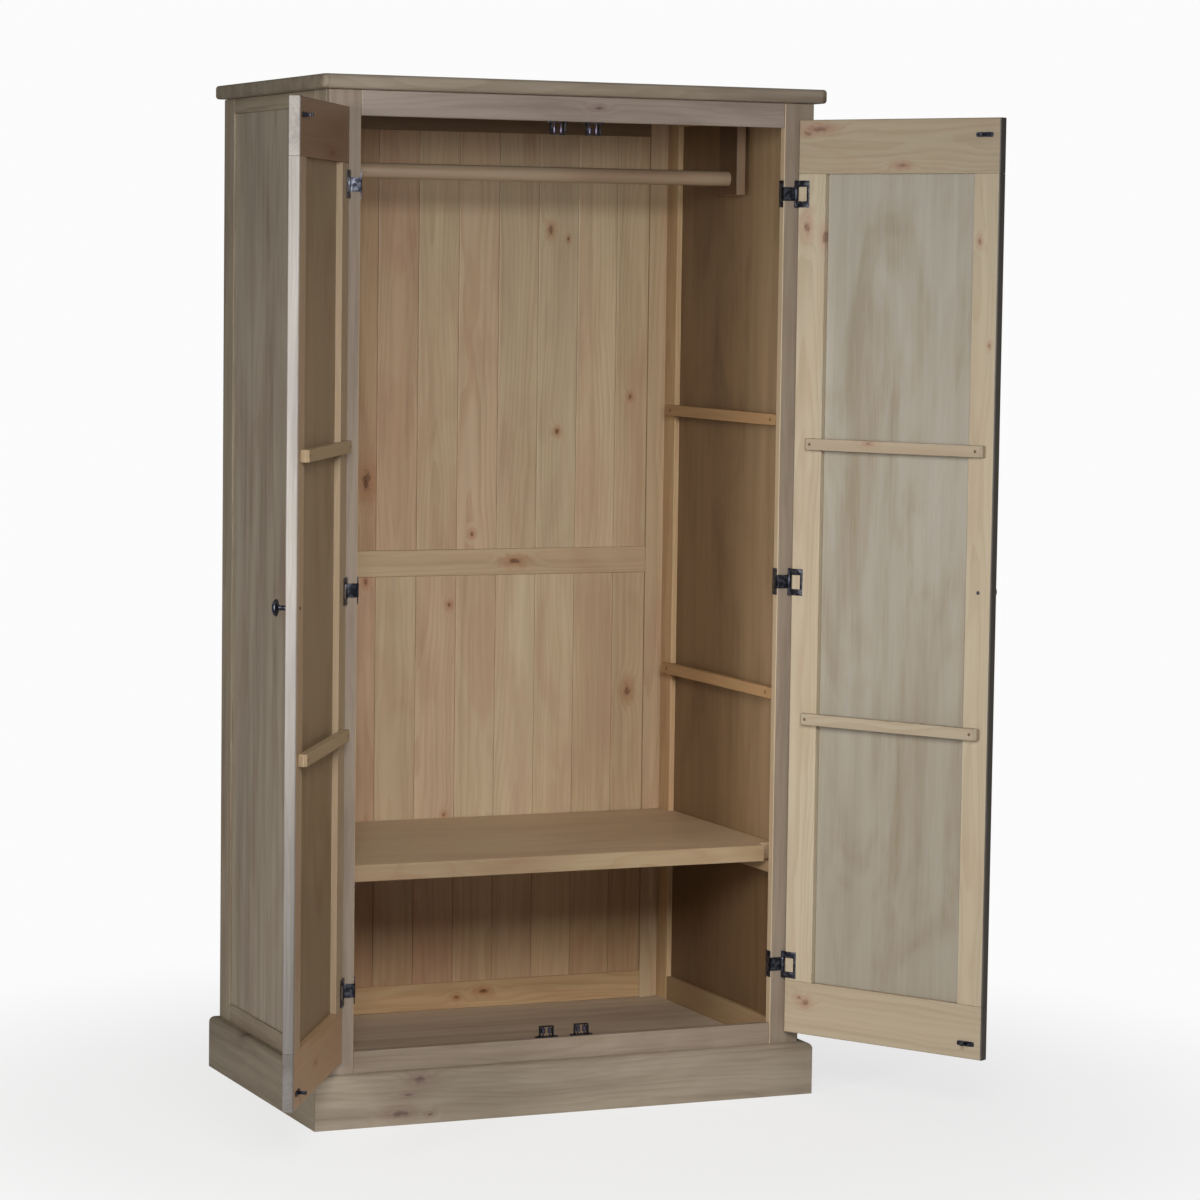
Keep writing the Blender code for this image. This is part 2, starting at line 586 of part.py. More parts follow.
    def hinge_leaf(self, number, z):
        """The outer leaf: a plate open in the middle, with a barrel above and below."""
        name = f"hinge_door_leaf_{number}"
        back = LEAF_BACK - AXIS_Y
        front = LEAF_FRONT - AXIS_Y
        half = HINGE_HEIGHT / 2
        stem_half = HINGE_STEM_HEIGHT / 2 + HINGE_PLAY
        window_far = AXIS_X - OPENING_HALF + GAP + HINGE_SHEET + HINGE_PLAY
        leaf = self.box(name, (0.0, front, z - half), (window_far + HINGE_BAR, back, z + half), DARK_IRON)
        for end, sign in (("upper", 1), ("lower", -1)):
            length = half - stem_half
            middle = z + sign * (half + stem_half) / 2
            join(leaf, self.cylinder(f"{name}_barrel_{end}", HINGE_BARREL_RADIUS, length,
                                     BARREL_STEPS, (0, 0, middle)))
        cut(leaf, self.box(name + "_window", (-2 * HINGE_BARREL_RADIUS, 2 * front - back, z - stem_half),
                           (window_far, 2 * back - front, z + stem_half)))
        cut(leaf, self.cylinder(name + "_bore", HINGE_PIN_RADIUS + HINGE_PIN_CLEARANCE,
                                HINGE_HEIGHT + HINGE_BAR, BARREL_STEPS, (0, 0, z)))


def hinge_frame_leaf(label, hand, number, z):
    """The inner leaf: a stem across the stile, a flange on its inner edge, a barrel and the pin."""
    name = f"hinge_frame_leaf_{number}_{label}"
    half = HINGE_HEIGHT / 2
    stem_half = HINGE_STEM_HEIGHT / 2
    flange_outer = OPENING_HALF - GAP
    flange_inner = flange_outer - HINGE_SHEET
    leaf = box(name, (hand * flange_inner, LEAF_FRONT, z - stem_half),
               (hand * AXIS_X, LEAF_BACK, z + stem_half), DARK_IRON)
    join(leaf, box(name + "_flange_stem", (hand * flange_inner, LEAF_FRONT, z - stem_half),
                   (hand * flange_outer, FRONT + HINGE_BAR, z + stem_half)))
    join(leaf, box(name + "_flange", (hand * flange_inner, FRONT + GAP, z - half),
                   (hand * flange_outer, FACE_BACK - GAP, z + half)))
    join(leaf, cylinder(name + "_barrel", HINGE_BARREL_RADIUS, HINGE_STEM_HEIGHT, BARREL_STEPS,
                        place=(hand * AXIS_X, AXIS_Y, z)))
    join(leaf, cylinder(name + "_pin", HINGE_PIN_RADIUS, HINGE_HEIGHT - GAP, BARREL_STEPS,
                        place=(hand * AXIS_X, AXIS_Y, z)))


def doors():
    for label, hand in HANDS:
        door = Door(label, hand)
        door.frame()
        door.battens()
        door.strikes()
        door.knob()
        for number, z in enumerate(HINGE_HEIGHTS, 1):
            door.hinge_leaf(number, z)
            hinge_frame_leaf(label, hand, number, z)


# ---------------------------------------------------------------- roller catches
def catch(name, x, base_z, away, roller_z):
    """Two upright rollers in a bracket.  away is 1 standing on the bottom rail, -1 hanging."""
    y = FRONT + CATCH_SETBACK
    base_near = base_z + away * GAP
    base_far = base_near + away * CATCH_SHEET
    cap_near = roller_z + away * (CATCH_ROLLER_HEIGHT / 2 + CATCH_CAP_CLEARANCE)
    cap_far = cap_near + away * CATCH_SHEET
    half_cheek = CATCH_SHEET / 2
    body = box(name, (x - CATCH_WIDTH / 2, y - CATCH_DEPTH / 2, base_near),
               (x + CATCH_WIDTH / 2, y + CATCH_DEPTH / 2, base_far), DARK_IRON)
    for tag, sign in (("a", -1), ("b", 1)):
        cheek_x = x + sign * CATCH_CHEEK_SPACING / 2
        join(body, box(f"{name}_cheek_{tag}",
                       (cheek_x - half_cheek, y - CATCH_CHEEK_DEPTH / 2, base_near + away * GAP),
                       (cheek_x + half_cheek, y + CATCH_CHEEK_DEPTH / 2, cap_far)))
        roller_x = x + sign * (CATCH_ROLLER_GAP / 2 + CATCH_ROLLER_RADIUS)
        join(body, cylinder(f"{name}_roller_{tag}", CATCH_ROLLER_RADIUS, CATCH_ROLLER_HEIGHT,
                            BARREL_STEPS, place=(roller_x, y, roller_z)))
        join(body, cylinder(f"{name}_axle_{tag}", CATCH_AXLE_RADIUS,
                            abs(cap_near + cap_far - base_near - base_far) / 2, AXLE_STEPS,
                            place=(roller_x, y, (base_near + base_far + cap_near + cap_far) / 4)))
    join(body, box(name + "_cap",
                   (x - CATCH_CHEEK_SPACING / 2, y - CATCH_CAP_DEPTH / 2, cap_near),
                   (x + CATCH_CHEEK_SPACING / 2, y + CATCH_CAP_DEPTH / 2, cap_far - away * GAP)))


def catches():
    for label, hand in HANDS:
        x = hand * CATCH_FROM_MIDDLE
        catch("catch_top_" + label, x, OPENING_TOP, -1, CATCH_TOP_Z)
        catch("catch_bottom_" + label, x, OPENING_BOTTOM, 1, CATCH_BOTTOM_Z)


# ---------------------------------------------------------------- the wardrobe
top_board()
plinth()
face_frame()
for side_label, side_hand in HANDS:
    framed_side(side_label, side_hand)
back()
floor_board()
shelf()
hanging_rail()
catches()
doors()
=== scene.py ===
import json
import math
import random

import bmesh
import bpy
from bpy.props import FloatProperty, FloatVectorProperty, IntProperty, PointerProperty
from mathutils import Matrix, Vector


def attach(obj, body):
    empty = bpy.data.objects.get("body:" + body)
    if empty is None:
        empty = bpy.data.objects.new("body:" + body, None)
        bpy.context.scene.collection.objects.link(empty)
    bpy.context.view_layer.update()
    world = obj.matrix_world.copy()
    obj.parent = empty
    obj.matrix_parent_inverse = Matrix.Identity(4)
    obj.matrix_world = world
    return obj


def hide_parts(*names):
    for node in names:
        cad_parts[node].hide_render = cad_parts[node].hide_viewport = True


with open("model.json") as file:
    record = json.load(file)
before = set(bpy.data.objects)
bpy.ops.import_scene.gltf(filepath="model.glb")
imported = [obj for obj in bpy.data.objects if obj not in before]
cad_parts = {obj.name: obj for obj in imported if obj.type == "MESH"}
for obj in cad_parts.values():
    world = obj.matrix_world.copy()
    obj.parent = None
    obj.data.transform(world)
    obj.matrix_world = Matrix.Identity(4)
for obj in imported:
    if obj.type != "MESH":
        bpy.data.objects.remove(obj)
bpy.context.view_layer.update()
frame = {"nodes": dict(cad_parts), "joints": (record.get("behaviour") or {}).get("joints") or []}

bl_info = {
    "name": "Pine Wardrobe",
    "version": (1, 0, 0),
    "blender": (4, 5, 0),
    "location": "3D View > Sidebar > Wardrobe",
    "description": "Builds a double wardrobe in limed pine around its packed frame",
    "category": "Add Mesh",
}

HANDS = (("left", -1), ("right", 1))
UPRIGHT = Matrix()
AXES = {"X": Vector((1, 0, 0)), "Y": Vector((0, 1, 0)), "Z": Vector((0, 0, 1))}
MM = 0.001
FINE = 0.0004
FAR = 9                          # a coat has no limit this far out
SMOOTH = 35                      # degrees below which turned and pressed metal is shaded smooth
FLUSH = 0.0002                   # how far a flush screw head stands up
JOINT = 0.0003                   # between boards that meet
WASH_EDGE = 0.0014               # how far the bare wood reaches over an inner edge
SIDE_THICKNESS = 0.0295
BATTEN_ARRIS = 0.0012
BACK_REBATE = 0.010
BACK_PITCH = 0.0845
BACK_GAP = 0.00015
BACK_HALF_COUNT = 5
HINGE_SHEET = 0.0016
HINGE_HALF = 0.025
HINGE_STEM = 0.01275
HINGE_BARREL = 0.0035
CATCH_SHEET = 0.0015


# ------------------------------------------------------------------ sizes from the frame
def node_box(node, place=UPRIGHT):
    """Lowest and highest corner of a frame node, in the axes of place."""
    inverse = place.inverted()
    points = [inverse @ vert.co for vert in frame["nodes"][node].data.vertices]
    low = Vector([min(p[i] for p in points) for i in range(3)])
    high = Vector([max(p[i] for p in points) for i in range(3)])
    return low, high


def hinge_joint(label):
    return next(joint for joint in frame["joints"] if joint["child"] == label + "_door")


def door_place(label):
    """Axes of a door as if it were shut, with the origin on its hinge pin."""
    joint = hinge_joint(label)
    x, y, _ = joint["pos_m"]
    opened = math.radians(-joint["range_deg"][0])
    return Matrix.Translation((x, y, 0)) @ Matrix.Rotation(opened, 4, Vector(joint["axis"]))


# ------------------------------------------------------------------ shader writing
class Value:
    """A socket in a node tree, with operators that add Math nodes."""

    def __init__(self, tree, socket):
        self.tree = tree
        self.socket = socket

    def __add__(self, other):
        return self.tree.math("ADD", self, other)

    def __radd__(self, other):
        return self.tree.math("ADD", other, self)

    def __sub__(self, other):
        return self.tree.math("SUBTRACT", self, other)

    def __rsub__(self, other):
        return self.tree.math("SUBTRACT", other, self)

    def __mul__(self, other):
        return self.tree.math("MULTIPLY", self, other)

    def __rmul__(self, other):
        return self.tree.math("MULTIPLY", other, self)

    def __truediv__(self, other):
        return self.tree.math("DIVIDE", self, other)


class Tree:
    """Writes nodes into a material, a world or a node group."""

    def __init__(self, nodes):
        self.nodes = nodes

    def node(self, kind, settings=None, inputs=None, output=0):
        """Adds a node: its settings first, then the values or links of its sockets."""
        made = self.nodes.nodes.new(kind)
        for key, value in (settings or {}).items():
            setattr(made, key, value)
        self.feed(made, inputs or {})
        return Value(self, made.outputs[output])

    def feed(self, made, inputs):
        """Links a node's sockets to values, or sets them where they're constant."""
        for key, value in inputs.items():
            if isinstance(value, Value):
                self.nodes.links.new(value.socket, made.inputs[key])
            else:
                made.inputs[key].default_value = value

    def math(self, operation, *values):
        return self.node("ShaderNodeMath", {"operation": operation}, dict(enumerate(values)))

    def vector(self, operation, *values, output=0):
        return self.node("ShaderNodeVectorMath", {"operation": operation}, dict(enumerate(values)), output)

    def mix(self, low, high, factor):
        """A colour between two colours."""
        return self.node("ShaderNodeMix", {"data_type": "RGBA"}, {0: factor, 6: low, 7: high}, output=2)

    def fade(self, value, start, end):
        """0 at start and 1 at end, eased."""
        return self.node("ShaderNodeMapRange", {"interpolation_type": "SMOOTHSTEP"},
                         {"Value": value, "From Min": start, "From Max": end})

    def noise(self, vector, scale, detail=2.0, roughness=0.5, distortion=0.0):
        return self.node("ShaderNodeTexNoise", None,
                         {"Vector": vector, "Scale": scale, "Detail": detail,
                          "Roughness": roughness, "Distortion": distortion})

    def bump(self, height, strength, distance):
        inputs = {"Height": height, "Strength": strength, "Distance": distance}
        return self.node("ShaderNodeBump", None, inputs)

    def outputs(self, made):
        """All the outputs of a node that was just added."""
        return [Value(self, socket) for socket in made.socket.node.outputs]

    def parts(self, vector):
        return self.outputs(self.node("ShaderNodeSeparateXYZ", None, {0: vector}))

    def join(self, x, y, z):
        return self.node("ShaderNodeCombineXYZ", None, {0: x, 1: y, 2: z})


def node_group(name, vectors, floats, results, write):
    """A shared group: the names of its vector inputs, its float inputs and its float outputs."""
    group = bpy.data.node_groups.new(name, "ShaderNodeTree")
    for labels, way, kind in ((vectors, "INPUT", "NodeSocketVector"), (floats, "INPUT", "NodeSocketFloat"),
                              (results, "OUTPUT", "NodeSocketFloat")):
        for label in labels.split():
            group.interface.new_socket(label, in_out=way, socket_type=kind)
    tree = Tree(group)
    start = group.nodes.new("NodeGroupInput")
    made = write(tree, {socket.name: Value(tree, socket) for socket in start.outputs if socket.name})
    tree.feed(group.nodes.new("NodeGroupOutput"), made)
    return group


def write_wander(tree, vector, scale, detail):
    """Noise about zero in each direction."""
    inputs = {"Vector": vector, "Scale": scale, "Detail": detail}
    noise = tree.node("ShaderNodeTexNoise", None, inputs, output=1)
    return tree.vector("SUBTRACT", noise, (0.5, 0.5, 0.5))


def write_growth(tree, given):
    """Growth rings round a pith line, with fibres and stains drawn out along the grain (Z)."""
    shifted = tree.vector("ADD", given["Vector"], given["Shift"])

    def drawn(across, along):
        """The pattern's place, drawn out along the grain."""
        return tree.vector("MULTIPLY", shifted, (across, across, along))

    swayed = tree.vector("MULTIPLY", write_wander(tree, drawn(4.0, 1.3), 1.0, 3.0), given["Sway"])
    rippled = tree.vector("MULTIPLY", write_wander(tree, drawn(45.0, 7.0), 1.0, 2.0), (0.006, 0.006, 0.0))
    from_pith = tree.vector("ADD", tree.vector("SUBTRACT", given["Vector"], given["Pith"]), swayed)
    x, y, _ = tree.parts(tree.vector("ADD", from_pith, rippled))
    radius = tree.math("SQRT", x * x + y * y)
    season = tree.noise(tree.join(radius, 0.0, given["Season"]), 45.0, 1.0)
    count = radius / given["Ring"] + season * 2.2 + given["Push"]
    phase = tree.math("FRACT", count)
    late = tree.fade(phase, 0.30, 0.92) * (1.0 - tree.fade(phase, 0.94, 1.0))
    strength = tree.noise(tree.join(count * 0.37, 0.0, given["Season"]), 1.0, 0.0)
    fine = tree.noise(drawn(600.0, 14.0), 1.0, 2.0, 0.6)
    broad = tree.noise(drawn(42.0, 1.9), 1.0, 3.0, 0.62)
    stain = tree.noise(drawn(8.0, 2.4), 1.0, 3.0, 0.6, 0.8)
    return {"Late": late * (strength * 1.5 + 0.1), "Fibre": fine, "Streak": broad, "Stain": stain}


def write_knot(tree, given):
    """A knot through the board: its core, the halo round it, and how far it pushes the rings."""
    ragged = write_wander(tree, tree.vector("MULTIPLY", given["Vector"], (1.0, 0.3, 1.0)), 70.0, 4.0)
    shaken = tree.vector("MULTIPLY_ADD", ragged, given["Ragged"], given["Vector"])
    from_centre = tree.vector("SUBTRACT", shaken, given["Centre"])
    x, _, z = tree.parts(tree.vector("DIVIDE", from_centre, given["Size"]))
    away = tree.math("SQRT", x * x + z * z)
    core = 1.0 - tree.fade(away, 0.25, 1.15)
    halo = 1.0 - tree.fade(away, 0.6, 3.4)
    push = tree.math("EXPONENT", away * away * -0.16) * 2.2
    rings = tree.math("SINE", away * 15.0) * core * 0.3
    return {"Core": core + rings, "Halo": halo, "Push": push}


GROWTH = node_group("pine_growth", "Vector Shift Pith Sway", "Season Ring Push", "Late Fibre Streak Stain",
                    write_growth)
KNOT = node_group("pine_knot", "Vector Centre Size Ragged", "", "Core Halo Push", write_knot)


def srgb(red, green, blue):
    """A screen colour, 0 to 255, as the linear colour that shaders use."""
    def linear(level):
        level /= 255
        return level / 12.92 if level <= 0.04045 else ((level + 0.055) / 1.055) ** 2.4
    return (linear(red), linear(green), linear(blue))


def tinted(colour, shade):
    return (colour[0] * shade[0], colour[1] * shade[1], colour[2] * shade[2], 1.0)


def opaque(colour, level=1.0):
    return tinted(colour, (level, level, level))


class Finish:
    """How a board looks: its wood, its wash and its sheen."""

    def __init__(self, early, late, knot, halo, wash, stain, wash_share=0.2, grain=0.6, streak=0.2,
                 stained=0.5, roughness=0.48):
        self.early = early
        self.late = late
        self.knot = knot
        self.halo = halo
        self.wash = wash
        self.stain = stain
        self.wash_share = wash_share
        self.grain = grain
        self.streak = streak
        self.stained = stained
        self.roughness = roughness


FINISHES = {
    "limed": Finish(early=srgb(164, 151, 132), late=srgb(132, 114, 96), knot=srgb(100, 80, 76),
                    halo=srgb(138, 114, 102), wash=srgb(160, 151, 139), stain=srgb(140, 125, 110),
                    wash_share=0.42, grain=0.30, streak=0.32, stained=0.75, roughness=0.50),
    "side": Finish(early=srgb(168, 153, 131), late=srgb(132, 113, 91), knot=srgb(98, 80, 74),
                   halo=srgb(134, 115, 100), wash=srgb(166, 160, 141), stain=srgb(151, 126, 106),
                   wash_share=0.40, grain=0.44, streak=0.42, stained=0.8, roughness=0.50),
    "plain": Finish(early=srgb(208, 184, 150), late=srgb(180, 138, 98), knot=srgb(106, 62, 38),
                    halo=srgb(182, 126, 86), wash=srgb(203, 182, 154), stain=srgb(188, 150, 122),
                    wash_share=0.26, grain=0.30, streak=0.22, stained=0.6, roughness=0.46),
    "pale": Finish(early=srgb(212, 198, 172), late=srgb(188, 164, 134), knot=srgb(150, 110, 90),
                   halo=srgb(198, 154, 132), wash=srgb(206, 196, 174), stain=srgb(204, 178, 150),
                   wash_share=0.25, grain=0.34, streak=0.14, stained=0.45, roughness=0.46),
    "ply": Finish(early=srgb(184, 177, 162), late=srgb(170, 160, 142), knot=srgb(120, 96, 72),
                  halo=srgb(160, 140, 112), wash=srgb(180, 178, 174), stain=srgb(163, 147, 122),
                  wash_share=0.42, grain=0.12, streak=0.20, stained=0.85, roughness=0.50),
    "brown ply": Finish(early=srgb(142, 113, 81), late=srgb(118, 88, 60), knot=srgb(84, 58, 40),
                        halo=srgb(118, 88, 60), wash=srgb(140, 116, 88), stain=srgb(114, 86, 58),
                        wash_share=0.3, grain=0.25, streak=0.30, stained=0.8, roughness=0.5),
    # a lighter copy of the brown ply, for painted light
    "painted lit ply": Finish(early=srgb(160, 134, 102), late=srgb(146, 118, 84), knot=srgb(84, 58, 40),
                        halo=srgb(118, 88, 60), wash=srgb(164, 142, 112), stain=srgb(140, 114, 84),
                        wash_share=0.3, grain=0.25, streak=0.30, stained=0.8, roughness=0.5),
}


class Coat:
    """A second finish on part of a board, also used to paint light and shade onto it: where a plane cuts it
    off, or inside a box.
    """

    def __init__(self, finish, tone=1.0, tint=(1.0, 1.0, 1.0), low=(-FAR, -FAR, -FAR), high=(FAR, FAR, FAR),
                 soft=(FINE, FINE, FINE)):
        self.finish = FINISHES[finish]
        self.shade = [tone * channel for channel in tint]
        self.low = low
        self.high = high
        self.soft = soft


def beyond(axis, value, sign=1):
    """The limits of a coat above a plane across an axis, or below the plane for sign -1."""
    corner = [-FAR * sign] * 3
    corner[axis] = value
    return {"low" if sign > 0 else "high": corner}


def board_axes(size, grain):
    """Unit vectors across, through and along a board."""
    along = AXES[grain]
    others = sorted((axis for axis in "XYZ" if axis != grain), key=lambda axis: size["XYZ".index(axis)])
    through = AXES[others[0]]
    across = AXES[others[1]]
    if across.cross(through).dot(along) < 0:
        across = -across
    return across, through, along


class Grain:
    """The pattern of one board, from which each of its finishes takes its colour."""

    def __init__(self, tree, spot, width, thickness, chance, knots, ring):
        self.tree = tree
        self.core = None
        self.halo = None
        push = 0.0
        for over, up, half_width, half_length in knots:
            inputs = {"Vector": spot, "Centre": (over, 0.0, up), "Size": (half_width, 1.0, half_length),
                      "Ragged": (half_width * 1.9, 0.0, half_length * 1.7)}
            core, halo, pushed = tree.outputs(tree.node("ShaderNodeGroup", {"node_tree": KNOT}, inputs))
            self.core = core if self.core is None else tree.math("MAXIMUM", self.core, core)
            self.halo = halo if self.halo is None else tree.math("MAXIMUM", self.halo, halo)
            push = pushed + push
        pith = (chance.uniform(-0.6, 0.6) * width, -thickness - chance.uniform(0.004, 0.05))
        group = tree.node("ShaderNodeGroup", {"node_tree": GROWTH},
                          {"Vector": spot, "Shift": [chance.uniform(-9, 9) for _ in range(3)],
                           "Pith": (pith[0], pith[1], 0.0), "Sway": (0.09, 0.05, 0.0),
                           "Season": chance.uniform(0, 9), "Ring": ring, "Push": push})
        self.late, self.fibre, self.streak, self.stain = tree.outputs(group)

    def colour(self, look, shade):
        tree = self.tree
        colour = tree.mix(tinted(look.early, shade), tinted(look.late, shade), self.late * look.grain)
        stained = tree.fade(self.stain, 0.42, 0.70) * look.stained
        colour = tree.mix(colour, tinted(look.stain, shade), stained)
        if self.core is not None:
            colour = tree.mix(colour, tinted(look.halo, shade), self.halo * (self.streak * 0.9 + 0.2))
            colour = tree.mix(colour, tinted(look.knot, shade), tree.math("MINIMUM", self.core * 0.92, 1.0))
        wash = tree.fade(self.fibre + (self.streak - 0.5) * 0.8, 0.3, 0.8) * look.wash_share
        colour = tree.mix(colour, tinted(look.wash, shade), wash)
        shadow = 1.0 - (0.60 - self.streak) * look.streak * 2.2 - (0.5 - self.fibre) * look.streak * 0.4
        return tree.mix((0, 0, 0, 1), colour, shadow)


def within(tree, point, low, high, soft):
    """1 inside a box, 0 outside it."""
    inside = None
    for axis in range(3):
        for limit, sign in ((low[axis], 1), (high[axis], -1)):
            if abs(limit) < FAR:
                value = tree.parts(point)[axis]
                side = tree.fade(value * sign, limit * sign - soft[axis], limit * sign + soft[axis])
                inside = side if inside is None else inside * side
    return inside


class Surface:
    """A material being written: its tree, its shader and its Object coordinates."""

    def __init__(self, name):
        self.material = bpy.data.materials.new(name)
        self.material.use_nodes = True
        self.tree = Tree(self.material.node_tree)
        self.shader = self.material.node_tree.nodes["Principled BSDF"]
        self.spot = self.tree.node("ShaderNodeTexCoord", output=3)

    def moved(self, turn):
        """The coordinates in the axes that a matrix leads to."""
        inputs = {"Vector": self.spot, "Location": turn.translation, "Rotation": turn.to_euler()}
        return self.tree.node("ShaderNodeMapping", None, inputs)

    def done(self, **sockets):
        """The material, once its shader's sockets are linked or set."""
        self.tree.feed(self.shader, {key.replace("_", " "): value for key, value in sockets.items()})
        return self.material


def pine(name, finish, centre, size, grain, place, seed, tone=1.0, tint=(1.0, 1.0, 1.0), knots=(), coats=()):
    """A board's own pine.  knots are (point, half width, half length), in the axes of place."""
    look = FINISHES[finish]
    chance = random.Random(seed)
    across, through, along = board_axes(size, grain)
    surface = Surface(name)
    tree = surface.tree
    own = place.inverted()
    spot = surface.moved(Matrix((across, through, along)).to_4x4() @ Matrix.Translation(-centre) @ own)
    ring = chance.uniform(0.0055, 0.0095)
    knots = [((Vector(point) - centre).dot(across), (Vector(point) - centre).dot(along), *halves)
             for point, *halves in knots]
    board = Grain(tree, spot, abs(across.dot(size)), abs(through.dot(size)), chance, knots, ring)
    tone *= chance.uniform(0.95, 1.05)
    colour = board.colour(look, [tone * channel for channel in tint])
    point = surface.moved(own) if coats else None
    for coat in coats:
        share = within(tree, point, coat.low, coat.high, coat.soft)
        colour = tree.mix(colour, board.colour(coat.finish, coat.shade), share)
    rough = board.fibre * 0.16 + board.streak * 0.14 + board.late * -0.05 + (look.roughness - 0.15)
    bump = tree.bump(board.fibre * 0.6 + board.streak * 0.4 + board.late * 0.4, 0.3, 0.0004)
    return surface.done(Base_Color=colour, Roughness=rough, Normal=bump)


def iron(name, level=1.0, roughness=0.36):
    """Blackened steel, rubbed brighter in places."""
    surface = Surface(name)
    tree = surface.tree
    grain = tree.noise(surface.spot, 900.0, 3.0)
    patches = tree.noise(surface.spot, 140.0, 2.0)
    rubbed = tree.fade(patches + grain * 0.35, 0.62, 0.86)
    colour = tree.mix(opaque(srgb(52, 54, 64), level), opaque(srgb(128, 132, 146), level), rubbed * 0.55)
    return surface.done(Base_Color=colour, Roughness=grain * 0.18 + (roughness - 0.09), Metallic=0.85,
                        Normal=tree.bump(grain, 0.25, 0.0002))


def bright_steel(name):
    """Plated steel of the catch rollers."""
    surface = Surface(name)
    tree = surface.tree
    turned = tree.noise(tree.vector("MULTIPLY", surface.spot, (200.0, 200.0, 2400.0)), 1.0, 2.0)
    colour = tree.mix(opaque(srgb(54, 52, 66)), opaque(srgb(122, 116, 136)), turned)
    return surface.done(Base_Color=colour, Roughness=turned * 0.14 + 0.30, Metallic=1.0)


def plug_wood(name):
    """End grain of the small plugs over the battens' screws."""
    surface = Surface(name)
    pores = surface.tree.noise(surface.spot, 1500.0, 3.0)
    colour = surface.tree.mix(opaque(srgb(84, 62, 44)), opaque(srgb(136, 108, 80)), pores)
    return surface.done(Base_Color=colour, Roughness=pores * 0.2 + 0.5)


# ------------------------------------------------------------------ knots and tones of single boards
# a knot is a point on the board's face, its half width and its half length along the grain
BACK_KNOTS = (
    ((0.1936, 0, 1.6365), 0.006, 0.010), ((0.212, 0, 1.2369), 0.005, 0.006),
    ((0.0319, 0, 1.0351), 0.004, 0.005), ((-0.0133, 0, 0.8945), 0.0045, 0.006),
    ((-0.1906, 0, 0.9436), 0.0045, 0.007), ((0.3702, 0, 1.3068), 0.004, 0.006),
    ((0.3727, 0, 0.7134), 0.008, 0.013), ((-0.0215, 0, 0.4768), 0.0035, 0.005),
    ((-0.19, 0, 1.14), 0.010, 0.022), ((0.232, 0, 1.62), 0.003, 0.005), ((-0.31, 0, 0.33), 0.004, 0.006),
)
SILL_KNOTS = (((0.0664, 0, 0.117), 0.005, 0.010), ((0.0084, 0, 0.1083), 0.004, 0.006))
PLINTH_KNOTS = (
    ((-0.2961, 0, 0.0814), 0.006, 0.014), ((-0.3192, 0, 0.0552), 0.003, 0.010),
    ((-0.3344, 0, 0.0212), 0.006, 0.018), ((-0.2778, 0, 0.0152), 0.003, 0.006),
)
# a tone is a brightness and a tint
BACK_TONES = (
    (0.96, (1.0, 1.0, 0.98)), (0.92, (1.02, 0.98, 0.95)), (0.84, (1.03, 0.94, 0.86)),
    (0.94, (1.03, 0.96, 0.97)), (1.05, (0.99, 1.02, 1.03)), (1.06, (1.02, 1.01, 1.06)),
    (1.10, (0.99, 1.04, 1.08)), (1.14, (0.98, 1.05, 1.10)), (1.12, (1.0, 1.05, 1.08)),
    (1.08, (1.0, 1.03, 1.03)),
)
# tones of the doors' boards; the left door's darker, browner set is painted shade on its inside, which faces
# away from the lights, warmed by light bounced inside
DOOR_TONES_AND_PAINTED_SHADE = {
    "right": {"hinge_stile": (0.84, (1.0, 1.01, 1.01)), "free_stile": (0.84, (1.0, 0.99, 0.97)),
              "top_rail": (0.68, (1.0, 0.97, 0.93)), "bottom_rail": (0.72, (1.0, 0.96, 0.93)),
              "panel": (0.95, (0.99, 1.0, 1.0)), "batten": (0.75, (1.0, 0.98, 0.98))},
    "left": {"hinge_stile": (0.72, (1.0, 0.88, 0.78)), "free_stile": (0.72, (1.0, 0.86, 0.78)),
             "top_rail": (0.45, (1.0, 0.72, 0.60)), "bottom_rail": (0.80, (1.0, 0.75, 0.60)),
             "panel": (0.74, (1.02, 0.82, 0.60)), "batten": (0.68, (1.0, 0.88, 0.74))},
}
# painted shade that dims the left door's free edge towards the bottom
LOW_EDGE_PAINTED_SHADE = (0.62, (0.93, 1.02, 1.25))
# a painted highlight on the left door's free edge, and painted shade on the right door's
FREE_EDGE_PAINTED_HIGHLIGHT_AND_SHADE = {"left": (1.27, (0.92, 1.02, 1.24)), "right": (0.36, (0.95, 1.0, 1.1))}
DOOR_KNOTS = {
    "right": {"hinge_stile": ((0.0268, 1.644, 0.008, 0.016), (0.0652, 1.6256, 0.005, 0.013)),
              "free_stile": ((0.4255, 1.4308, 0.003, 0.005), (0.402, 1.62, 0.004, 0.007)),
              "top_rail": ((0.2335, 1.7581, 0.004, 0.012), (0.026, 1.818, 0.004, 0.009),
                           (0.05, 1.826, 0.006, 0.022)),
              "bottom_rail": ((0.0395, 0.190, 0.004, 0.007), (0.052, 0.183, 0.006, 0.010))},
    "left": {"top_rail": ((0.16, 1.757, 0.005, 0.024),), "bottom_rail": ((0.25, 0.17, 0.004, 0.012),)},
}


# ------------------------------------------------------------------ mesh making
pieces = bpy.data.collections.new("wardrobe")
bpy.context.scene.collection.children.link(pieces)


def add_piece(name, shape, material, body, place=UPRIGHT, stands_for=(), smooth=None):
    """Turns a bmesh into a piece that rides on a body, with its place in its mesh."""
    mesh = bpy.data.meshes.new(name)
    shape.to_mesh(mesh)
    shape.free()
    mesh.transform(place)
    if smooth is not None:
        mesh.shade_smooth()
        mesh.set_sharp_from_angle(angle=math.radians(smooth))
    mesh.materials.append(material)
    piece = bpy.data.objects.new(name, mesh)
    pieces.objects.link(piece)
    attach(piece, body)
    if stands_for:
        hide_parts(stands_for)
    return piece


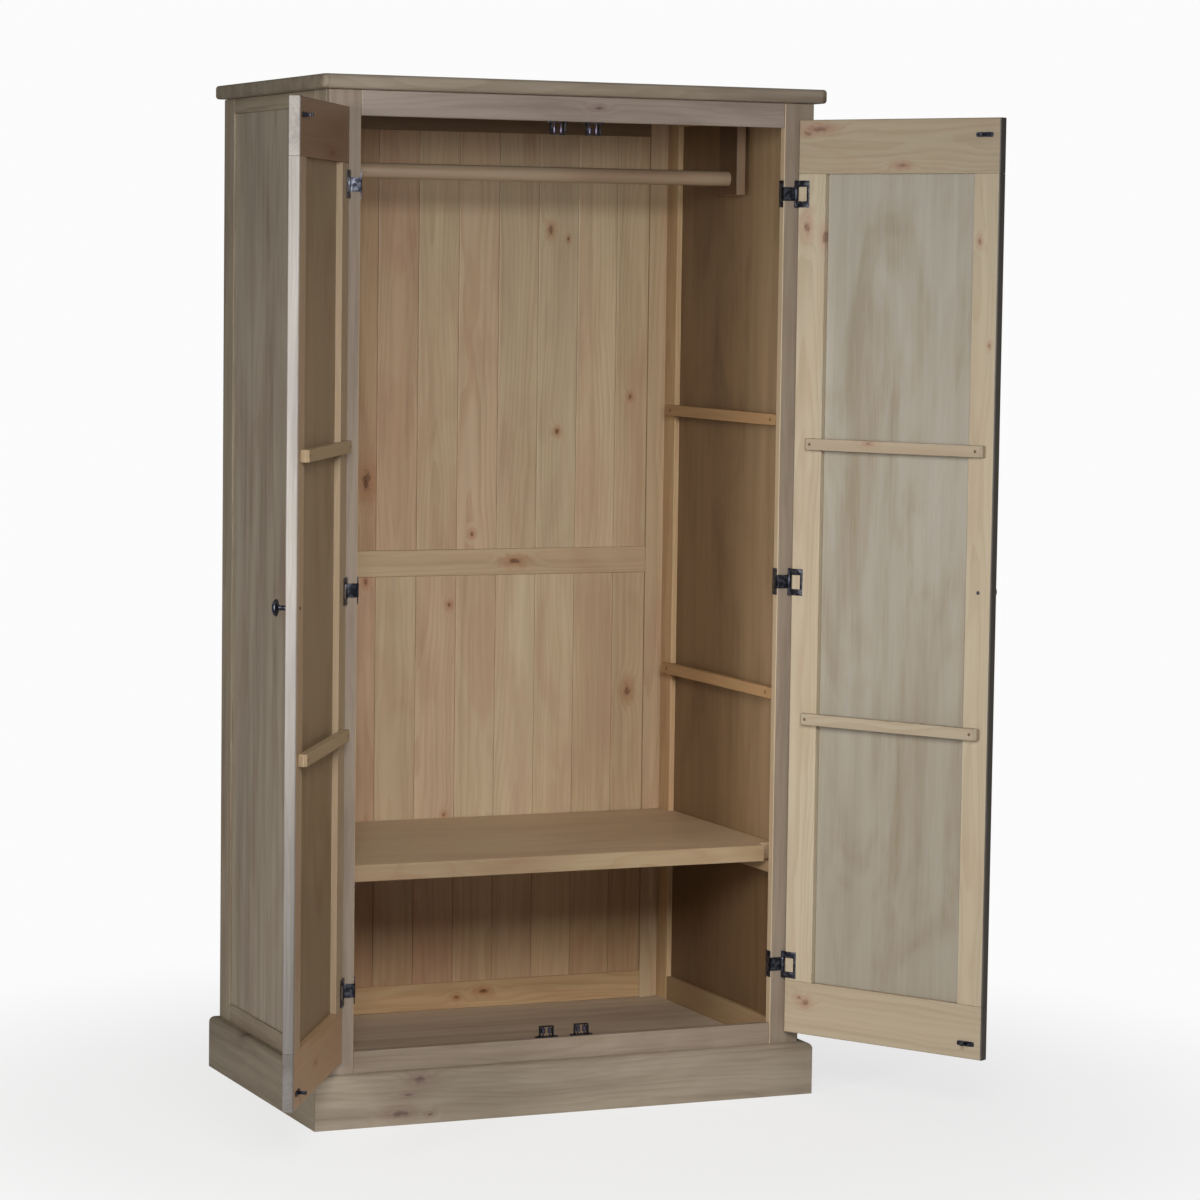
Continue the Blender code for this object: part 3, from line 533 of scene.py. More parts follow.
def add_timber(name, shape, box, grain, finish, seed, body="carcass", place=UPRIGHT, stands_for=(),
               smooth=None, **wood):
    """Adds a wooden piece in a pine of its own."""
    low, high = box
    material = pine(name + "_wood", finish, (low + high) / 2, high - low, grain, place, seed, **wood)
    return add_piece(name, shape, material, body, place, stands_for, smooth)


def add_iron(name, shape, body="carcass", place=UPRIGHT, stands_for=(), smooth=SMOOTH, metal=None):
    add_piece(name, shape, metal or IRON, body, place, stands_for, smooth)


def add_plugs(name, radius, points, outward, body="carcass", place=UPRIGHT):
    """Adds the small plugs that cover a batten's screws."""
    shape = joined(rod_shape(radius, -MM, 0.0003, 20, 0.0002, facing(point, outward)) for point in points)
    add_piece(name, shape, PLUG, body, place, smooth=SMOOTH)


def cube_between(low, high):
    """A box from one corner to another, whichever of them is the lower."""
    shape = bmesh.new()
    bmesh.ops.create_cube(shape, size=1.0)
    size = Vector([abs(b - a) for a, b in zip(low, high)])
    bmesh.ops.scale(shape, vec=size, verts=shape.verts)
    bmesh.ops.translate(shape, vec=(Vector(low) + Vector(high)) / 2, verts=shape.verts)
    return shape


def soften(shape, edges, width, segments):
    bmesh.ops.bevel(shape, geom=list(edges), offset=width, offset_type="OFFSET", segments=segments,
                    profile=0.5, affect="EDGES", clamp_overlap=True, material=-1)


def eased_box(low, high, ease=0.0003, segments=2):
    shape = cube_between(low, high)
    if ease:
        soften(shape, shape.edges[:], ease, segments)
    return shape


def edges_along(shape, axis, where=lambda vert: True):
    """The edges that run along an axis (0, 1 or 2) between vertices that are where they should be."""
    return [edge for edge in shape.edges
            if abs(edge.verts[0].co[axis] - edge.verts[1].co[axis]) > MM and all(map(where, edge.verts))]


def sharp_edges(shape):
    return [edge for edge in shape.edges if edge.calc_face_angle(0) > math.radians(60)]


def joined(shapes):
    """One bmesh of several closed shells."""
    first, *others = shapes
    for other in others:
        mesh = bpy.data.meshes.new("joined")
        other.to_mesh(mesh)
        other.free()
        first.from_mesh(mesh)
        bpy.data.meshes.remove(mesh)
    return first


def turned_shape(profile, steps, place=UPRIGHT):
    """A profile of (radius, height) from the foot to the top, turned about Z."""
    shape = bmesh.new()
    verts = [shape.verts.new((radius, 0, height)) for radius, height in profile]
    edges = [shape.edges.new(pair) for pair in zip(verts, verts[1:])]
    bmesh.ops.spin(shape, geom=verts + edges, cent=(0, 0, 0), axis=(0, 0, 1), dvec=(0, 0, 0),
                   angle=2 * math.pi, steps=steps, use_merge=True)
    bmesh.ops.remove_doubles(shape, verts=shape.verts, dist=1e-6)
    bmesh.ops.recalc_face_normals(shape, faces=shape.faces)
    bmesh.ops.transform(shape, matrix=place, verts=shape.verts)
    return shape


def rod_shape(radius, low, high, steps, ease, place=UPRIGHT):
    """A rod along Z with eased ends."""
    chamfer = ((radius - ease, 0), (radius - ease * 0.3, ease * 0.3), (radius, ease))
    foot = [(out, low + up) for out, up in chamfer]
    head = [(out, high - up) for out, up in reversed(chamfer)]
    return turned_shape([(0, low), *foot, *head, (0, high)], steps, place)


def screw_shape(radius, height, place):
    """A raised screw head with a cross recess, its face along +Z."""
    shape = bmesh.new()
    bmesh.ops.create_circle(shape, cap_ends=True, segments=20, radius=radius)
    arm = radius * 0.62
    slot = radius * 0.13
    for axis in ("X", "Y"):
        for offset in (-arm, -slot, slot, arm):
            bmesh.ops.bisect_plane(shape, geom=shape.verts[:] + shape.edges[:] + shape.faces[:],
                                   dist=1e-7, plane_co=AXES[axis] * offset, plane_no=AXES[axis])
    for vert in shape.verts:
        vert.co.z = height * (1.0 - 0.7 * (vert.co.x ** 2 + vert.co.y ** 2) / radius ** 2)
    recess = []
    for face in shape.faces:
        nearer, farther = sorted(map(abs, face.calc_center_median().xy))
        if nearer < slot and farther < arm:
            recess.append(face)
    rim = [edge for edge in shape.edges if edge.is_boundary]
    sunk = bmesh.ops.extrude_face_region(shape, geom=recess)
    bmesh.ops.translate(shape, vec=(0, 0, -height * 0.6),
                        verts=[item for item in sunk["geom"] if isinstance(item, bmesh.types.BMVert)])
    bmesh.ops.delete(shape, geom=recess, context="FACES")
    skirt = bmesh.ops.extrude_edge_only(shape, edges=rim)
    for item in skirt["geom"]:
        if isinstance(item, bmesh.types.BMVert):
            item.co.z = 0.0
    bmesh.ops.contextual_create(shape, geom=[edge for edge in shape.edges if edge.is_boundary])
    bmesh.ops.recalc_face_normals(shape, faces=shape.faces)
    bmesh.ops.transform(shape, matrix=place, verts=shape.verts)
    return shape


def facing(point, direction, spin=0.0):
    """A matrix that sets +Z along a direction at a point."""
    turn = Vector(direction).to_track_quat("Z", "Y").to_matrix().to_4x4()
    return Matrix.Translation(point) @ turn @ Matrix.Rotation(spin, 4, "Z")


def name_seed(name):
    """A seed for the random draws of a board, from its name."""
    return sum(map(ord, name))


def face_x(box, hand):
    """The x of a box's inner face for its side's hand, or of its outer face for the opposite hand."""
    return box[0].x if hand > 0 else box[1].x


class Board:
    """A sawn board: a box with eased arrises, in its own pine."""

    count = 0

    def __init__(self, name, low, high, grain, finish, arris=0.0016, segments=3, **rest):
        Board.count += 1
        box = [Vector(corner) for corner in zip(*map(sorted, zip(low, high)))]
        add_timber(name, eased_box(*box, arris, segments), box, grain, finish, Board.count * 7 + 3, **rest)


# ------------------------------------------------------------------ settings
class WardrobeEdges(bpy.types.PropertyGroup):
    arris: FloatProperty(name="Arris", description="Rounding of the boards' edges", default=0.0018,
                         min=0.0, unit="LENGTH")
    top_round: FloatProperty(name="Top board edge", description="Rounding of the top board's edge",
                             default=0.006, min=0.0, unit="LENGTH")
    plinth_round: FloatProperty(name="Plinth edge", description="Round on the plinth's top outer edge",
                                default=0.011, min=0.0, unit="LENGTH")
    turning_steps: IntProperty(name="Turning steps", description="Sides of the turned pieces",
                               default=64, min=12)


class WardrobeStage(bpy.types.PropertyGroup):
    floor: FloatVectorProperty(name="Floor", description="Colour of the floor", subtype="COLOR",
                               default=(0.86, 0.86, 0.86), min=0.0, max=1.0)
    backdrop: FloatVectorProperty(name="Backdrop", description="Colour behind the wardrobe",
                                  subtype="COLOR", default=(0.97, 0.97, 0.97), min=0.0, max=1.0)
    key: FloatProperty(name="Key light", description="Power of the large soft light", default=15.4,
                       min=0.0, unit="POWER")
    strip: FloatProperty(name="Strip light", description="Power of the tall light on the left",
                         default=13.0, min=0.0, unit="POWER")
    ambient: FloatProperty(name="Ambient", description="Strength of the light from all round",
                           default=0.115, min=0.0)
    lens: FloatProperty(name="Lens", description="Focal length of the camera in millimetres",
                        default=118.48, min=1.0)


def settings():
    return bpy.context.scene.wardrobe_edges


# ------------------------------------------------------------------ pieces
class Piece(bpy.types.Operator):
    """Shared by the wardrobe's operators."""
    bl_options = {"REGISTER", "UNDO"}


class WARDROBE_OT_top(Piece):
    """Adds the top board, with rounded edges and rounded front corners"""
    bl_idname = "wardrobe.top"
    bl_label = "Top board"

    def execute(self, context):
        low, high = box = node_box("top_board")
        shape = cube_between(low, high)
        soften(shape, edges_along(shape, 2, lambda vert: vert.co.y < low.y + MM), 0.010, 4)
        soften(shape, sharp_edges(shape), settings().top_round, 4)
        stile_low, stile_high = node_box("face_stile_right")
        end = 0.012
        # the ends take the sides' finish; the dark brown coat on the underside inside the opening is painted
        # shade
        coats = [Coat("side", 0.78, **beyond(0, low.x + end, -1)),
                 Coat("side", 0.78, **beyond(0, high.x - end)),
                 Coat("brown ply", 0.25, low=(-stile_low.x, stile_high.y, -FAR),
                      high=(stile_low.x, FAR, low.z + MM))]
        add_timber("top_board_planed", shape, box, "X", "limed", 11, stands_for="top_board", tone=1.02,
                   coats=coats)
        return {"FINISHED"}


class WARDROBE_OT_plinth(Piece):
    """Adds the three plinth boards, mitred at the front corners"""
    bl_idname = "wardrobe.plinth"
    bl_label = "Plinth"

    def execute(self, context):
        self.board("plinth_front", 0, "X", "limed", 1.02, PLINTH_KNOTS)
        self.board("plinth_left", -1, "Y", "side", 0.76, (((0, 0.42, 0.098), 0.007, 0.012),))
        self.board("plinth_right", 1, "Y", "side", 0.76)
        return {"FINISHED"}

    def board(self, name, hand, grain, finish, tone, knots=()):
        """A board with its top outer edge rounded; hand is its side, and 0 is the front."""
        low, high = box = node_box(name)
        middle = (low + high) / 2
        thickness = min((high - low).xy)

        def outer(vert):
            return (vert.co.x - middle.x) * hand > 0 if hand else vert.co.y < middle.y

        shape = cube_between(low, high)
        for vert in shape.verts:
            if outer(vert):
                continue
            if hand == 0:
                vert.co.x -= math.copysign(thickness, vert.co.x)
            elif vert.co.y < middle.y:
                vert.co.y += thickness
        crown = [edge for edge in shape.edges if all(v.co.z > middle.z and outer(v) for v in edge.verts)]
        soften(shape, crown, settings().plinth_round, 8)
        add_timber(name + "_planed", shape, box, grain, finish, name_seed(name), stands_for=name, tone=tone,
                   knots=knots)


class WARDROBE_OT_face_frame(Piece):
    """Adds the stiles and rails round the door opening"""
    bl_idname = "wardrobe.face_frame"
    bl_label = "Face frame"

    def execute(self, context):
        opening = node_box("face_stile_right")[0].x + WASH_EDGE
        for label, hand, tone, tint in (("left", -1, 1.04, (0.99, 0.95, 0.99)),
                                        ("right", 1, 0.96, (0.99, 0.95, 0.96))):
            bare = Coat("pale", 0.86, (1.0, 0.92, 0.84), **beyond(0, hand * opening, -hand))
            self.board("stile_" + label, "Z", tone, tint, [bare])
        self.board("rail_top", "X", 1.08, (0.98, 0.97, 1.10), knots=(((0.0412, 0, 1.854), 0.0035, 0.010),))
        self.board("rail_bottom", "X", 1.06, (0.99, 0.95, 0.96))
        return {"FINISHED"}

    def board(self, part, grain, tone, tint, coats=(), knots=()):
        node = "face_" + part
        low, high = node_box(node)
        Board(node + "_planed", low, high, grain, "limed", stands_for=node, arris=settings().arris,
              tint=tint, tone=tone, knots=knots, coats=[*coats, Coat("plain", 0.9, **beyond(1, high.y - MM))])


class WARDROBE_OT_sides(Piece):
    """Adds each side's stiles, rails, panel, cleat and battens"""
    bl_idname = "wardrobe.sides"
    bl_label = "Sides"

    def execute(self, context):
        for label, hand in HANDS:
            self.frame(label, hand)
            self.panel(label, hand)
            for level in ("upper", "lower"):
                self.batten(f"side_batten_{level}_{label}", hand)
        return {"FINISHED"}

    def frame(self, label, hand):
        """The stiles and rails, bare inside, and the cleat that the shelf rests on."""
        node = "side_frame_" + label
        low, high = box = node_box(node)
        panel_low, panel_high = panel = node_box("side_panel_" + label)
        cleat_width = high.x - low.x - SIDE_THICKNESS
        inner = face_x(box, hand) + hand * cleat_width
        seam = face_x(panel, hand) + hand * 0.0006
        front, rear = panel_low.y, panel_high.y
        shared = {"stands_for": node, "arris": settings().arris}
        # the inner faces are bare pine; the bottom rail's is darker and warmer, painted shade in the lower
        # bay
        for part, grain, (y, z), (to_y, to_z), tone, tint in (
                ("stile_front", "Z", (low.y, low.z), (front - JOINT, high.z), 0.88, (1.0, 0.93, 0.82)),
                ("stile_rear", "Z", (rear + JOINT, low.z), (high.y, high.z), 1.15, (1.0, 0.95, 0.84)),
                ("rail_top", "Y", (front, panel_high.z + JOINT), (rear, high.z), 0.88, (1.0, 0.93, 0.82)),
                ("rail_bottom", "Y", (front, low.z), (rear, panel_low.z - JOINT), 0.60, (1.03, 0.93, 0.78))):
            Board(f"side_{part}_{label}", (inner, y, z), (face_x(box, -hand), to_y, to_z), grain, "side",
                  coats=[Coat("plain", tone, tint, **beyond(0, seam, -hand))], **shared)
        shelf = node_box("shelf")[0].z
        # the cleat is darker and warmer: painted shade under the shelf
        Board(f"shelf_cleat_{label}", (inner, front - JOINT - 0.030, shelf - 0.0218),
              (inner - hand * (cleat_width - JOINT), rear + JOINT + 0.030, shelf - JOINT), "Y", "plain",
              tone=0.62, tint=(1.03, 0.95, 0.86), **shared)

    def panel(self, label, hand):
        node = "side_panel_" + label
        box = node_box(node)
        # Inside, the ply is lighter towards the front, a painted pool of light, and darker below the shelf,
        # painted shade; outside it is washed like the sides.
        Board(node + "_sheet", *box, "Z", "brown ply", stands_for=node, arris=0, coats=[
            Coat("painted lit ply", 1.0, high=(FAR, 0.24, FAR), soft=(MM, 0.11, MM)),
            Coat("brown ply", 0.72, (1.0, 0.95, 0.9), high=(FAR, FAR, 0.45), soft=(MM, MM, 0.06)),
            Coat("side", 1.06, (0.99, 1.02, 1.08), **beyond(0, face_x(box, -hand) - hand * 0.004, hand))])

    def batten(self, name, hand):
        low, high = box = node_box(name)
        Board(name + "_planed", low, high, "Y", "plain", stands_for=name, arris=BATTEN_ARRIS, segments=2,
              tint=(0.80, 0.66, 0.50))
        points = [(face_x(box, hand), y, (low.z + high.z) / 2) for y in (low.y + 0.022, high.y - 0.022)]
        add_plugs(name + "_plugs", 0.0034, points, (-hand, 0, 0))


class WARDROBE_OT_back(Piece):
    """Adds the back's frame and its tongue-and-groove boards"""
    bl_idname = "wardrobe.back"
    bl_label = "Back"

    def execute(self, context):
        low, high = node_box("back_frame")
        upper = node_box("back_boards_upper")
        lower = node_box("back_boards_lower")
        half = upper[1].x
        inside = (low.y + high.y) / 2
        for label, hand in HANDS:
            self.stile(label, hand, half + JOINT, low, high)
        floor_top = node_box("floor_board")[1].z
        # painted shadow of the face frame's top rail on the inside of the back's top rail
        painted_shadow = Coat("plain", 0.34, (1.08, 0.92, 0.80), high=(FAR, inside, FAR))
        swirl = ((0.1248, 0, 0.9795), 0.006, 0.016)
        for part, front, bottom, top, wood in (
                ("top", low.y, upper[1].z + JOINT, high.z, {"coats": [painted_shadow]}),
                ("middle", low.y, lower[1].z + JOINT, upper[0].z - JOINT, {"knots": [swirl]}),
                ("bottom", low.y, floor_top + JOINT, lower[0].z - JOINT,
                 {"knots": SILL_KNOTS, "tint": (1.05, 0.96, 0.82)}),
                ("sill", low.y + BACK_REBATE, low.z, floor_top, {})):
            Board("back_rail_" + part, (-half, front, bottom), (half, high.y, top), "X", "plain",
                  stands_for="back_frame", arris=BATTEN_ARRIS, **wood)
        inside = (upper[0].y + upper[1].y) / 2
        # painted shade on the inner faces: at the top of the upper bay, and over the lower bay below the
        # shelf
        self.boards("upper", *upper, 0, 0.70, 0.085, {"low": (-FAR, -FAR, 1.80), "high": (FAR, inside, FAR)})
        self.boards("lower", *lower, 1, 0.84, 0.01, {"high": (FAR, inside, 0.455)})
        return {"FINISHED"}

    def stile(self, label, hand, half, low, high):
        """A stile with the rebate that leaves a shadow line beside the wardrobe's side."""
        outer = high.x
        rear = cube_between((hand * half, low.y + BACK_REBATE, low.z), (hand * outer, high.y, high.z))
        front = cube_between((hand * half, low.y, low.z), (hand * (outer - 0.0115), low.y + 0.0098, high.z))
        centre = Vector((hand * (half + outer) / 2, low.y, high.z / 2))
        size = Vector((outer - half, high.y - low.y, high.z - low.z))
        material = pine(f"back_stile_{label}_wood", "plain", centre, size, "Z", UPRIGHT, 40 + hand)
        add_piece(f"back_stile_{label}", joined((rear, front)), material, "carcass",
                  stands_for="back_frame")

    def boards(self, level, low, high, shift, shade, fading, limits):
        """The boards of one bay, with painted shade where the limits say; shift moves the tones along."""
        for number in range(2 * BACK_HALF_COUNT):
            place = number - BACK_HALF_COUNT
            left = max(place * BACK_PITCH + BACK_GAP, low.x)
            right = min((place + 1) * BACK_PITCH - BACK_GAP, high.x)
            box = Vector((left, low.y, low.z)), Vector((right, high.y, high.z))
            shape = cube_between(*box)
            soften(shape, edges_along(shape, 2, lambda vert: vert.co.y < low.y + MM), 0.0018, 2)
            tone, tint = BACK_TONES[(number + shift) % len(BACK_TONES)]
            coat = Coat("plain", tone * shade, tinted(tint, (1.06, 0.93, 0.85)), soft=(MM, MM, fading),
                        **limits)
            add_timber(f"back_board_{level}_{number + 1}", shape, box, "Z", "plain",
                       place * 5 + len(level) * 31 + ord(level[0]), stands_for="back_boards_" + level,
                       tone=tone, tint=tint, coats=[coat],
                       knots=[knot for knot in BACK_KNOTS
                              if left < knot[0][0] < right and low.z < knot[0][2] < high.z])


class WARDROBE_OT_shelves(Piece):
    """Adds the floor board and the notched shelf"""
    bl_idname = "wardrobe.shelves"
    bl_label = "Floor board and shelf"

    def execute(self, context):
        Board("floor_board_planed", *node_box("floor_board"), "X", "limed", stands_for="floor_board",
              arris=0.001, tone=1.55, tint=(1.0, 0.99, 1.0))
        shape = bmesh.new()
        shape.from_mesh(frame["nodes"]["shelf"].data)
        bmesh.ops.remove_doubles(shape, verts=shape.verts, dist=1e-5)
        bmesh.ops.dissolve_limit(shape, angle_limit=math.radians(1), verts=shape.verts, edges=shape.edges)
        soften(shape, sharp_edges(shape), 0.0016, 3)
        box = node_box("shelf")
        front = Coat("plain", 0.74, (1.0, 0.97, 0.92), high=(FAR, box[0].y + 0.0012, FAR))
        add_timber("shelf_planed", shape, box, "X", "plain", 57, stands_for="shelf", tone=0.95,
                   tint=(1.0, 1.01, 1.04), coats=[front])
        return {"FINISHED"}


class WARDROBE_OT_hanging_rail(Piece):
    """Adds the turned hanging rail and the blocks that carry it"""
    bl_idname = "wardrobe.hanging_rail"
    bl_label = "Hanging rail"

    def execute(self, context):
        low, high = box = node_box("hanging_rail")
        middle = (low + high) / 2
        radius = (high.z - low.z) / 2
        place = Matrix.Translation(middle) @ Matrix.Rotation(math.pi / 2, 4, "Y")
        shape = rod_shape(radius, low.x, high.x, settings().turning_steps, 0.0012, place)
        add_timber("hanging_rail_turned", shape, box, "X", "plain", 23, stands_for="hanging_rail",
                   smooth=SMOOTH, tone=0.82, tint=(0.97, 0.98, 1.05))
        for label, hand in HANDS:
            self.bracket(label, hand, middle, radius)
        return {"FINISHED"}

    def bracket(self, label, hand, middle, radius):
        """A block with a round socket in its inner face."""
        node = "rail_bracket_" + label
        box = node_box(node)
        inner = face_x(box, hand)
        # painted shadow of the face frame's top rail on the front face; a darker brown on the inner face
        coats = [Coat("plain", 0.50, (0.98, 0.96, 0.96), high=(FAR, box[0].y + MM, FAR)),
                 Coat("brown ply", 0.40, (1.1, 0.9, 0.75), **beyond(0, inner + hand * MM, -hand))]
        block = add_timber(node + "_block", eased_box(*box, 0.0014, 3), box, "Z", "plain", 31 + hand,
                           stands_for=node, coats=coats)
        socket = rod_shape(radius + 0.0004, -0.0079, 0.004, settings().turning_steps, 0.0002,
                           facing((inner, middle.y, middle.z), (-hand, 0, 0)))
        mesh = bpy.data.meshes.new("socket")
        socket.to_mesh(mesh)
        socket.free()
        cutter = bpy.data.objects.new("socket", mesh)
        pieces.objects.link(cutter)
        cut = block.modifiers.new("socket", "BOOLEAN")
        cut.object = cutter
        cut.solver = "EXACT"
        context = bpy.context.evaluated_depsgraph_get()
        bored = bpy.data.meshes.new_from_object(block.evaluated_get(context))
        block.modifiers.clear()
        block.data = bored
        bpy.data.objects.remove(cutter)


class WARDROBE_OT_doors(Piece):
    """Adds both doors: frames, panels and battens"""
    bl_idname = "wardrobe.doors"
    bl_label = "Doors"

    def execute(self, context):
        for label, hand in HANDS:
            place = door_place(label)
            for part in ("hinge_stile", "free_stile", "top_rail", "bottom_rail"):
                self.rail(label, hand, part, "Z" if "stile" in part else "X", place)
            self.panel(label, place)
            for level in ("upper", "lower"):
                self.batten(label, level, place)
        return {"FINISHED"}

    def rail(self, label, hand, part, grain, place):
        """A stile or a rail: bare pine inside, washed outside and on the door's edges, with a painted
        highlight on the left door's free edge that dims towards the bottom, and painted shade on the right
        door's free edge.
        """
        node = f"door_{part}_{label}"
        low, high = box = node_box(node, place)
        pin_edge, free_edge = (high.x, low.x) if hand > 0 else (low.x, high.x)
        axis, sign, ends = {
            "hinge_stile": (0, hand, ((0, pin_edge),)),
            "free_stile": (0, -hand, ((0, free_edge),)),
            "top_rail": (2, 1, ((0, pin_edge), (0, free_edge), (2, high.z))),
            "bottom_rail": (2, -1, ((0, pin_edge), (0, free_edge), (2, low.z)))}[part]
        limits = {"low": [-FAR] * 3, "high": [FAR, high.y - 0.0022, FAR]}
        if sign > 0:
            limits["low"][axis] = low[axis] + WASH_EDGE
        else:
            limits["high"][axis] = high[axis] - WASH_EDGE
        coats = [Coat("limed", 0.95, **limits)]
        if part != "hinge_stile":
            # painted highlight on the left door's free edge and painted shade on the right door's; on the
            # left, painted shade dims it towards the bottom
            edge = beyond(0, free_edge + hand * 0.0026, -hand)
            coats.append(Coat("limed", *FREE_EDGE_PAINTED_HIGHLIGHT_AND_SHADE[label], **edge))
            if label == "left":
                coats.append(Coat("limed", *LOW_EDGE_PAINTED_SHADE, high=(FAR, FAR, 0.62), soft=(FINE, MM, 0.5),
                                  **edge))
        tone, tint = DOOR_TONES_AND_PAINTED_SHADE[label][part]
        knots = [((-hand * out, 0, z), half_width, half_length)
                 for out, z, half_width, half_length in DOOR_KNOTS[label].get(part, ())]
        shape = cube_between(low, high)
        rim = [edge for edge in shape.edges if abs(edge.verts[0].co.y - edge.verts[1].co.y) < MM
               and any(all(abs(vert.co[way] - value) < MM for vert in edge.verts) for way, value in ends)]
        soften(shape, rim, 0.003, 4)
        soften(shape, sharp_edges(shape), 0.0004, 1)
        add_timber(node + "_planed", shape, box, grain, "pale", name_seed(node), label + "_door", place, node,
                   coats=coats, tone=tone, tint=tint, knots=knots)

    def panel(self, label, place):
        node = "door_panel_" + label
        low, high = node_box(node, place)
        tone, tint = DOOR_TONES_AND_PAINTED_SHADE[label]["panel"]
        Board(node + "_sheet", low, high, "Z", "ply", stands_for=node, arris=0, body=label + "_door",
              place=place, tone=tone, tint=tint,
              coats=[Coat("ply", tone * 0.82, tinted(tint, (1.02, 0.98, 0.93)), high=(FAR, FAR, 0.85),
                          soft=(MM, MM, 0.55)),
                     Coat("limed", 0.95, high=(FAR, (low.y + high.y) / 2, FAR))])

    def batten(self, label, level, place):
        """A batten with chamfered ends and two plugged screws."""
        node = f"door_batten_{level}_{label}"
        low, high = box = node_box(node, place)
        shape = cube_between(low, high)
        soften(shape, edges_along(shape, 2, lambda vert: vert.co.y > high.y - MM), 0.005, 1)
        soften(shape, sharp_edges(shape), BATTEN_ARRIS, 2)
        tone, tint = DOOR_TONES_AND_PAINTED_SHADE[label]["batten"]
        knots = [((-0.1803, 0, 1.2457), 0.003, 0.008)] if (label, level) == ("right", "upper") else []
        body = label + "_door"
        add_timber(node + "_planed", shape, box, "X", "pale", name_seed(node), body, place, node,
                   tone=tone, tint=tint, knots=knots)
        points = [(x, high.y, (low.z + high.z) / 2) for x in (low.x + 0.013, high.x - 0.013)]
        add_plugs(node + "_plugs", 0.003, points, (0, 1, 0), body, place)


class WARDROBE_OT_knobs(Piece):
    """Adds the turned knobs and the screws that hold them"""
    bl_idname = "wardrobe.knobs"
    bl_label = "Knobs"

    def execute(self, context):
        for label, _ in HANDS:
            place = door_place(label)
            node = "door_knob_" + label
            low, high = node_box(node, place)
            centre = (low + high) / 2
            length = high.y - low.y
            radius = (high.z - low.z) / 2
            rim = length - 0.0080
            profile = [(0, 0), (0.0075, 0), (0.0078, 0.0006), (0.0074, 0.0014), (0.0058, 0.0020),
                       (0.0047, 0.0034), (0.0043, 0.0060), (0.0043, rim - 0.0056), (0.0050, rim - 0.0040),
                       (0.0075, rim - 0.0030), (0.0115, rim - 0.0020), (radius - 0.0008, rim - 0.0008)]
            for step in range(13):
                angle = step / 12 * math.pi / 2
                profile.append((radius * math.cos(angle), rim + (length - rim) * math.sin(angle)))
            shape = turned_shape(profile, settings().turning_steps,
                                 facing((centre.x, high.y, centre.z), (0, -1, 0)))
            add_iron(node + "_turned", shape, label + "_door", place, node)
            inner = node_box("door_free_stile_" + label, place)[1].y
            screw = screw_shape(0.0034, 0.0012, facing((centre.x, inner, centre.z), (0, 1, 0), 0.4))
            add_iron(node + "_screw", screw, label + "_door", place, smooth=None)
        return {"FINISHED"}


class WARDROBE_OT_hinges(Piece):
    """Adds the six hinges: leaves, knuckles, pins and screws"""
    bl_idname = "wardrobe.hinges"
    bl_label = "Hinges"

    def execute(self, context):
        for label, hand in HANDS:
            for number in (1, 2, 3):
                self.frame_leaf(label, hand, number)
                self.door_leaf(label, hand, number)
        return {"FINISHED"}

    def frame_leaf(self, label, hand, number):
        """The T-shaped leaf, its knuckle and the pin."""
        node = f"hinge_frame_leaf_{number}_{label}"
        low, high = node_box(node)
        x, y, _ = hinge_joint(label)["pos_m"]
        stile = node_box("face_stile_" + label)
        front, rear = stile[0].y, stile[1].y
        middle = (low.z + high.z) / 2
        wood = face_x(stile, hand) - hand * JOINT
        skin = wood - hand * HINGE_SHEET
        face = front - JOINT - HINGE_SHEET
        foot, head = middle - HINGE_STEM, middle + HINGE_STEM
        pin = Matrix.Translation((x, y, 0))
        shape = joined((
            eased_box((skin, face, foot), (x - hand * 0.0005, face + HINGE_SHEET, head)),
            eased_box((wood, front + JOINT, middle - HINGE_HALF), (skin, rear - JOINT, middle + HINGE_HALF)),
            eased_box((wood, face, foot), (skin, front + 0.004, head)),
            rod_shape(HINGE_BARREL, foot, head, 28, 0.0003, pin),
            rod_shape(0.0014, middle - 0.0256, middle + 0.0256, 20, 0.0003, pin)))
        # the left door's first frame leaf is in a brighter copy of the iron: a painted highlight
        lit = (label, number) == ("left", 1)
        add_iron(node + "_pressed", shape, stands_for=node, metal=PAINTED_HIGHLIGHT_IRON if lit else IRON)
        screws = [screw_shape(0.0032, FLUSH, facing((wood + hand * 0.0125, face, middle), (0, -1, 0), 0.3))]
        for offset in (-0.0175, 0.0175):
            spot = (skin, front + 0.009, middle + offset)
            screws.append(screw_shape(0.0028, 0.001, facing(spot, (-hand, 0, 0), 0.7)))
        add_iron(node + "_screws", joined(screws), smooth=None)

    def door_leaf(self, label, hand, number):
        """The open square leaf: two arms with their knuckles, and the upright between their ends."""
        node = f"hinge_door_leaf_{number}_{label}"
        place = door_place(label)
        low, high = box = node_box(node, place)
        middle = (low.z + high.z) / 2
        front = high.y - HINGE_SHEET
        opening = 0.0133
        far = face_x(box, hand)
        shells = []
        for sign in (-1, 1):
            near_z, far_z = middle + sign * opening, middle + sign * HINGE_HALF
            shells.append(eased_box((-hand * 0.0006, front, near_z), (far, high.y, far_z)))
            shells.append(rod_shape(HINGE_BARREL, min(near_z, far_z), max(near_z, far_z), 28, 0.0003))
        reach = opening + 0.0005
        upright = cube_between((far, front, middle - reach), (far + hand * 0.0048, high.y, middle + reach))
        soften(upright, edges_along(upright, 2), 0.0003, 2)
        body = label + "_door"
        add_iron(node + "_pressed", joined([*shells, upright]), body, place, node)
        screws = []
        for sign in (-1, 1):
            spot = (-hand * 0.0185, high.y, middle + sign * 0.0192)
            screws.append(screw_shape(0.0032, FLUSH, facing(spot, (0, 1, 0), sign)))
        add_iron(node + "_screws", joined(screws), body, place, smooth=None)


